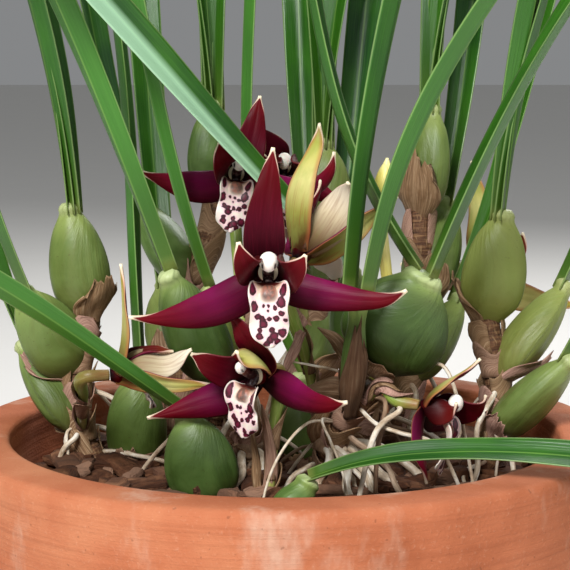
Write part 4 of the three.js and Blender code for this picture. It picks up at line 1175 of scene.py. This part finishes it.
def add_strips():
    """Dried sheaths: ribbons that curl along their length and end in a torn point."""
    surface = Surface()
    ss, ww = shares = grid(34, 12)
    for points, wide, luck in STRIPS:
        centre = walk(points, ss[:, 0])
        ahead = unit(np.gradient(centre, axis=0))
        across = unit(np.cross(ahead, (0.6 * luck - 0.3, -1, 0.2)))
        out = np.cross(across, ahead)
        half = wide / 2 * (1 - ss**4) * (1 + 0.16 * np.sin(11 * ss + 20 * luck + 2 * ww))
        curl = 0.22 * wide * ww**2 + 0.16 * np.sin(15 * ss + 6 * ww + 9 * luck)
        middle = centre[:, None] + across[:, None] * (half * ww)[..., None] - out[:, None] * curl[..., None]
        surface.paper(middle, shares, ww * wide / 2, 14, luck, 0.15, start=0.3)
    surface.piece("dried_sheaths", "bract", "rhizome")


# Flowers
def flower_frame(flower):
    return frame_at(flower["at"], flower["turn"], flower["tilt"], flower.get("roll", 0))


def tepal_thick(u, v):
    return (0.95 - 0.62 * np.abs(v) ** 2.5) * (1 - 0.35 * u)


def sized(usual, changes, size):
    """A part's usual numbers, with a flower's own in place of some, in the flower's size."""
    blade = {**usual, **changes}
    blade["length"] *= size
    blade["half"] = tuple(w * size for w in blade["half"])
    return blade


def add_tepals(name, flower, roll):
    surface = Surface()
    size = flower["size"]
    place = flower_frame(flower)
    for part, usual in TEPALS.items():
        blade = sized(usual, flower.get(part, {}), size)
        petal = part.startswith("petal")
        bearing = math.radians(blade["around"][0])
        out = blade["out"]
        start = in_frame(place, (out * math.cos(bearing), out * math.sin(bearing), blade["ahead"]), size)
        blade["rise"] = tuple(a + (0 if petal else flower.get("shut", 0)) for a in blade["rise"])
        luck = next(roll)
        upward = {"left": -1, "right": 1}.get(part, 0)
        back = BACKS[blade.get("back", "dark" if petal else "olive")]

        # The lateral sepals' own magenta, made stronger along their upper half as a painted highlight.
        def magenta_and_highlight(u, v):
            glow = np.clip(0.62 + 0.5 * upward * v, 0, 1) if upward else 0.12
            return glow * np.clip(u * 6, 0, 1)

        def relief(u, v):
            ripple = 0.16 * np.sin(2 * np.pi * (2.2 * u + luck)) * v**3
            groove = 0 if petal else -0.16 * hump(v / 0.16) * np.sin(np.pi * u)
            return ripple + groove

        add_blade(surface, blade, Frame(start, *place[1:]), 44, 18, luck, tepal_thick, relief, magenta_and_highlight,
                  lambda x, y: (back, back))
    back, front = -RECEPTACLE["back"] * size, RECEPTACLE["front"] * size
    levels = [in_frame(place, (0, 0, z)) for z in (back, (back + front) / 2, front)]
    radii = [RECEPTACLE["neck"] * size, RECEPTACLE["radius"] * size, RECEPTACLE["radius"] * size * 0.9]
    surface.rings(tube_rings(levels, radii, 28, 12), 0.3)
    surface.piece(f"tepals_{name}", "petal", "petal", [f"flower_{name}_perianth"])


def add_lip(name, flower, roll):
    surface = Surface()
    size = flower["size"]
    place = flower_frame(flower)
    blade = sized(LIP, flower.get("lip", {}), size)
    flip = -1 if next(roll) > 0.5 and name != "a" else 1
    stray = 0 if name == "a" else 0.35
    spots = [(flip * x + stray * (next(roll) - 0.5), y + stray * (next(roll) - 0.5), radius)
             for x, y, radius in SPOTS]
    luck = next(roll)

    def callus(u, v):
        return hump(v / 0.34, 4) * hump((u - 0.2) / 0.1, 4)

    def thick(u, v):
        return 0.5 - 0.28 * np.abs(v) ** 3 + 0.9 * callus(u, v) * size

    def relief(u, v):
        wave = 0.3 * np.sin(2 * np.pi * (2.6 * u + luck)) * np.abs(v) ** 3 * np.clip(u * 3 - 0.6, 0, 1)
        middle = -0.25 * hump(v / 0.2) * np.clip(u * 2 - 0.6, 0, 1)
        return wave + middle + 0.45 * callus(u, v) * size

    def ears(u, v):
        return -1.7 * size * np.abs(v) ** 2.5 * hump((u - 0.22) / 0.13)

    def mark(x, y):
        gaps = [np.hypot(x - at_x * size, y - at_y * size) - radius * size for at_x, at_y, radius in spots]
        return np.min(gaps, axis=0), 9.0

    def callus_tint(u, v):
        return np.clip(callus(u, v) * 1.3, 0, 1)

    foot = Frame(in_frame(place, COLUMN[0], size), *place[1:])
    add_blade(surface, blade, foot, 72, 44, luck, thick, relief, callus_tint, mark, ears)
    surface.piece(f"lip_{name}", "lip", "lip", [f"flower_{name}_lip_column"])


def add_column(name, flower):
    """The column and its white cap, which has a dark slit low on either side."""
    surface = Surface()
    size = flower["size"]
    place = flower_frame(flower)
    points = [in_frame(place, point, size) for point in COLUMN]
    surface.rings(tube_rings(points, [0.9 * size, 1.1 * size, 1 * size, 0.9 * size], 24, 24), 0.5)
    rows, sides = 34, 44
    polar = np.linspace(0.02, math.pi - 0.02, rows)[:, None]
    turn = -turns(sides)
    x = np.sin(polar) * np.cos(turn)
    y = -np.cos(polar) * np.ones_like(turn)
    z = np.sin(polar) * np.sin(turn)
    slit = (hump((x - 0.74) / 0.09) + hump((x + 0.74) / 0.09)) * hump((y + 0.42) / 0.26, 4) * (z > 0)
    chin = 1 - 0.16 * np.clip(-y, 0, 1) ** 2
    shrink = 1 - 0.16 * slit
    wide, high, deep = (reach * size * flower.get("cap", 1) for reach in CAP)
    cap = together(x * chin * shrink * wide, y * high, z * shrink * deep)
    rings = in_frame(place, COLUMN[-1], size) + cap @ np.array(place[1:])
    surface.rings(rings, 0.5, tint=1, mark=np.clip(slit * 1.6, 0, 1))
    surface.piece(f"column_{name}", "column", "lip", [f"flower_{name}_lip_column"])


def add_stalk(name, flower, roll):
    """The stalk, its seed pod and the papery bracts round its foot."""
    size = flower["size"]
    place = flower_frame(flower)
    end = in_frame(place, (0, 0, -(RECEPTACLE["back"] * size + GAP)))
    pod = in_frame(place, (0, 0, -SEED_POD["behind"]), size)
    foot = np.array(flower["foot"], float) if "foot" in flower else place_on(flower["on"])
    middle = np.array(flower["via"], float) if "via" in flower else foot + (pod - foot) * 0.55 + (0, 0, 1.5)
    path = [foot, foot + (middle - foot) * 0.5, middle, pod, end]
    radii = [STALK_RADIUS, STALK_RADIUS, STALK_RADIUS, SEED_POD["radius"] * size, SEED_POD["end"] * size]
    surface = Surface()
    surface.rings(tube_rings(path, radii, 16, 60), next(roll))
    surface.piece(f"pedicel_{name}", "stalk", "stalk", [f"flower_{name}_stalk"])
    bracts = Surface()
    for k in range(3):
        add_stalk_bract(bracts, path, 0.08 + 0.17 * k, next(roll))
    bracts.piece(f"stalk_bracts_{name}", "bract", "stalk")


def add_stalk_bract(surface, path, start, luck):
    ss, ww = shares = grid(18, 14)
    run = np.linalg.norm(np.diff(walk(path, np.linspace(0, 1, 101)), axis=0), axis=1).sum()
    share = np.clip(start + ss * 9 / run * (1 - 0.4 * ww**2), 0, 1)
    angle = np.radians(165) * ww * (1 - 0.62 * ss**1.5) + 7 * luck
    radius = STALK_RADIUS + 0.22 + 0.8 * ss**2
    points = wrapped(path, share, angle, radius, (0.3, 0.8, 0.5))
    surface.paper(points, shares, angle * radius, 9, luck, 0.12)


def add_flowers():
    roll = dice(SEEDS["flowers"])
    for name, flower in FLOWERS.items():
        add_tepals(name, flower, roll)
        add_lip(name, flower, roll)
        add_column(name, flower)
        add_stalk(name, flower, roll)


def add_bud():
    low, tip = np.array(BUD["at"], float), np.array(BUD["tip"], float)
    surface = Surface()
    surface.rings(tube_rings([place_on(BUD["on"]), BUD["via"], low], [STALK_RADIUS, 1.2], 16, 40), 0.4)

    def seams(share, angle):
        return 1 - 0.1 * hump(np.sin(1.5 * angle) / 0.2) * math.sin(math.pi * share)

    swell = [BUD["radius"] * share for share in (0.5, 0.95, 1, 0.7, 0.12)]
    body = tube_rings([low, (low + tip) / 2 + (0.3, 0, 0), tip], swell, 36, 36, seams)
    surface.rings(body, 0.6)
    surface.piece("flower_bud", "bud", "bud", ["bud"])


# Stage, light and camera
CAMERA_AT = (0, -0.3568, 0.1889)
CAMERA_DOWN = 8
LENS = 114.6
LIT_POINT = (0, 0, 0.17)


def add_stage():
    bpy.ops.mesh.primitive_plane_add(size=12, location=(0, 0, -0.0005))
    floor = bpy.context.object
    floor.name = "floor"
    floor.data.materials.append(PAINTS["floor"])


def add_light(name, at, size, power):
    lamp = bpy.data.lights.new(name, "AREA")
    lamp.size = size
    lamp.energy = power
    thing = placed(name, lamp)
    thing.location = at
    thing.rotation_euler = (Vector(LIT_POINT) - Vector(at)).to_track_quat("-Z", "Y").to_euler()


def add_lights():
    add_light("key", (-0.32, -0.82, 0.85), 0.35, 17.5)
    add_light("fill", (0.8, -0.5, 0.5), 0.8, 2.5)
    add_light("back", (0.35, 0.8, 0.8), 0.6, 8)
    world = bpy.data.worlds.new("studio")
    world.use_nodes = True
    background = world.node_tree.nodes["Background"]
    background.inputs["Color"].default_value = colour("e4e6e8")
    background.inputs["Strength"].default_value = 0.3
    bpy.context.scene.world = world
    bpy.context.scene.view_settings.view_transform = "Standard"


def add_camera():
    lens = bpy.data.cameras.new("camera")
    lens.lens = LENS
    lens.sensor_width = 36
    lens.clip_start = 0.01
    camera = placed("camera", lens)
    camera.location = CAMERA_AT
    camera.rotation_euler = (math.radians(90 - CAMERA_DOWN), 0, 0)
    bpy.context.scene.camera = camera


add_camera()
add_pot()
add_bark()
add_rhizomes()
add_roots()
add_fine_roots()
add_strips()
add_front_growths()
add_leafy_stems()
add_flowers()
add_bud()
add_stage()
add_lights()
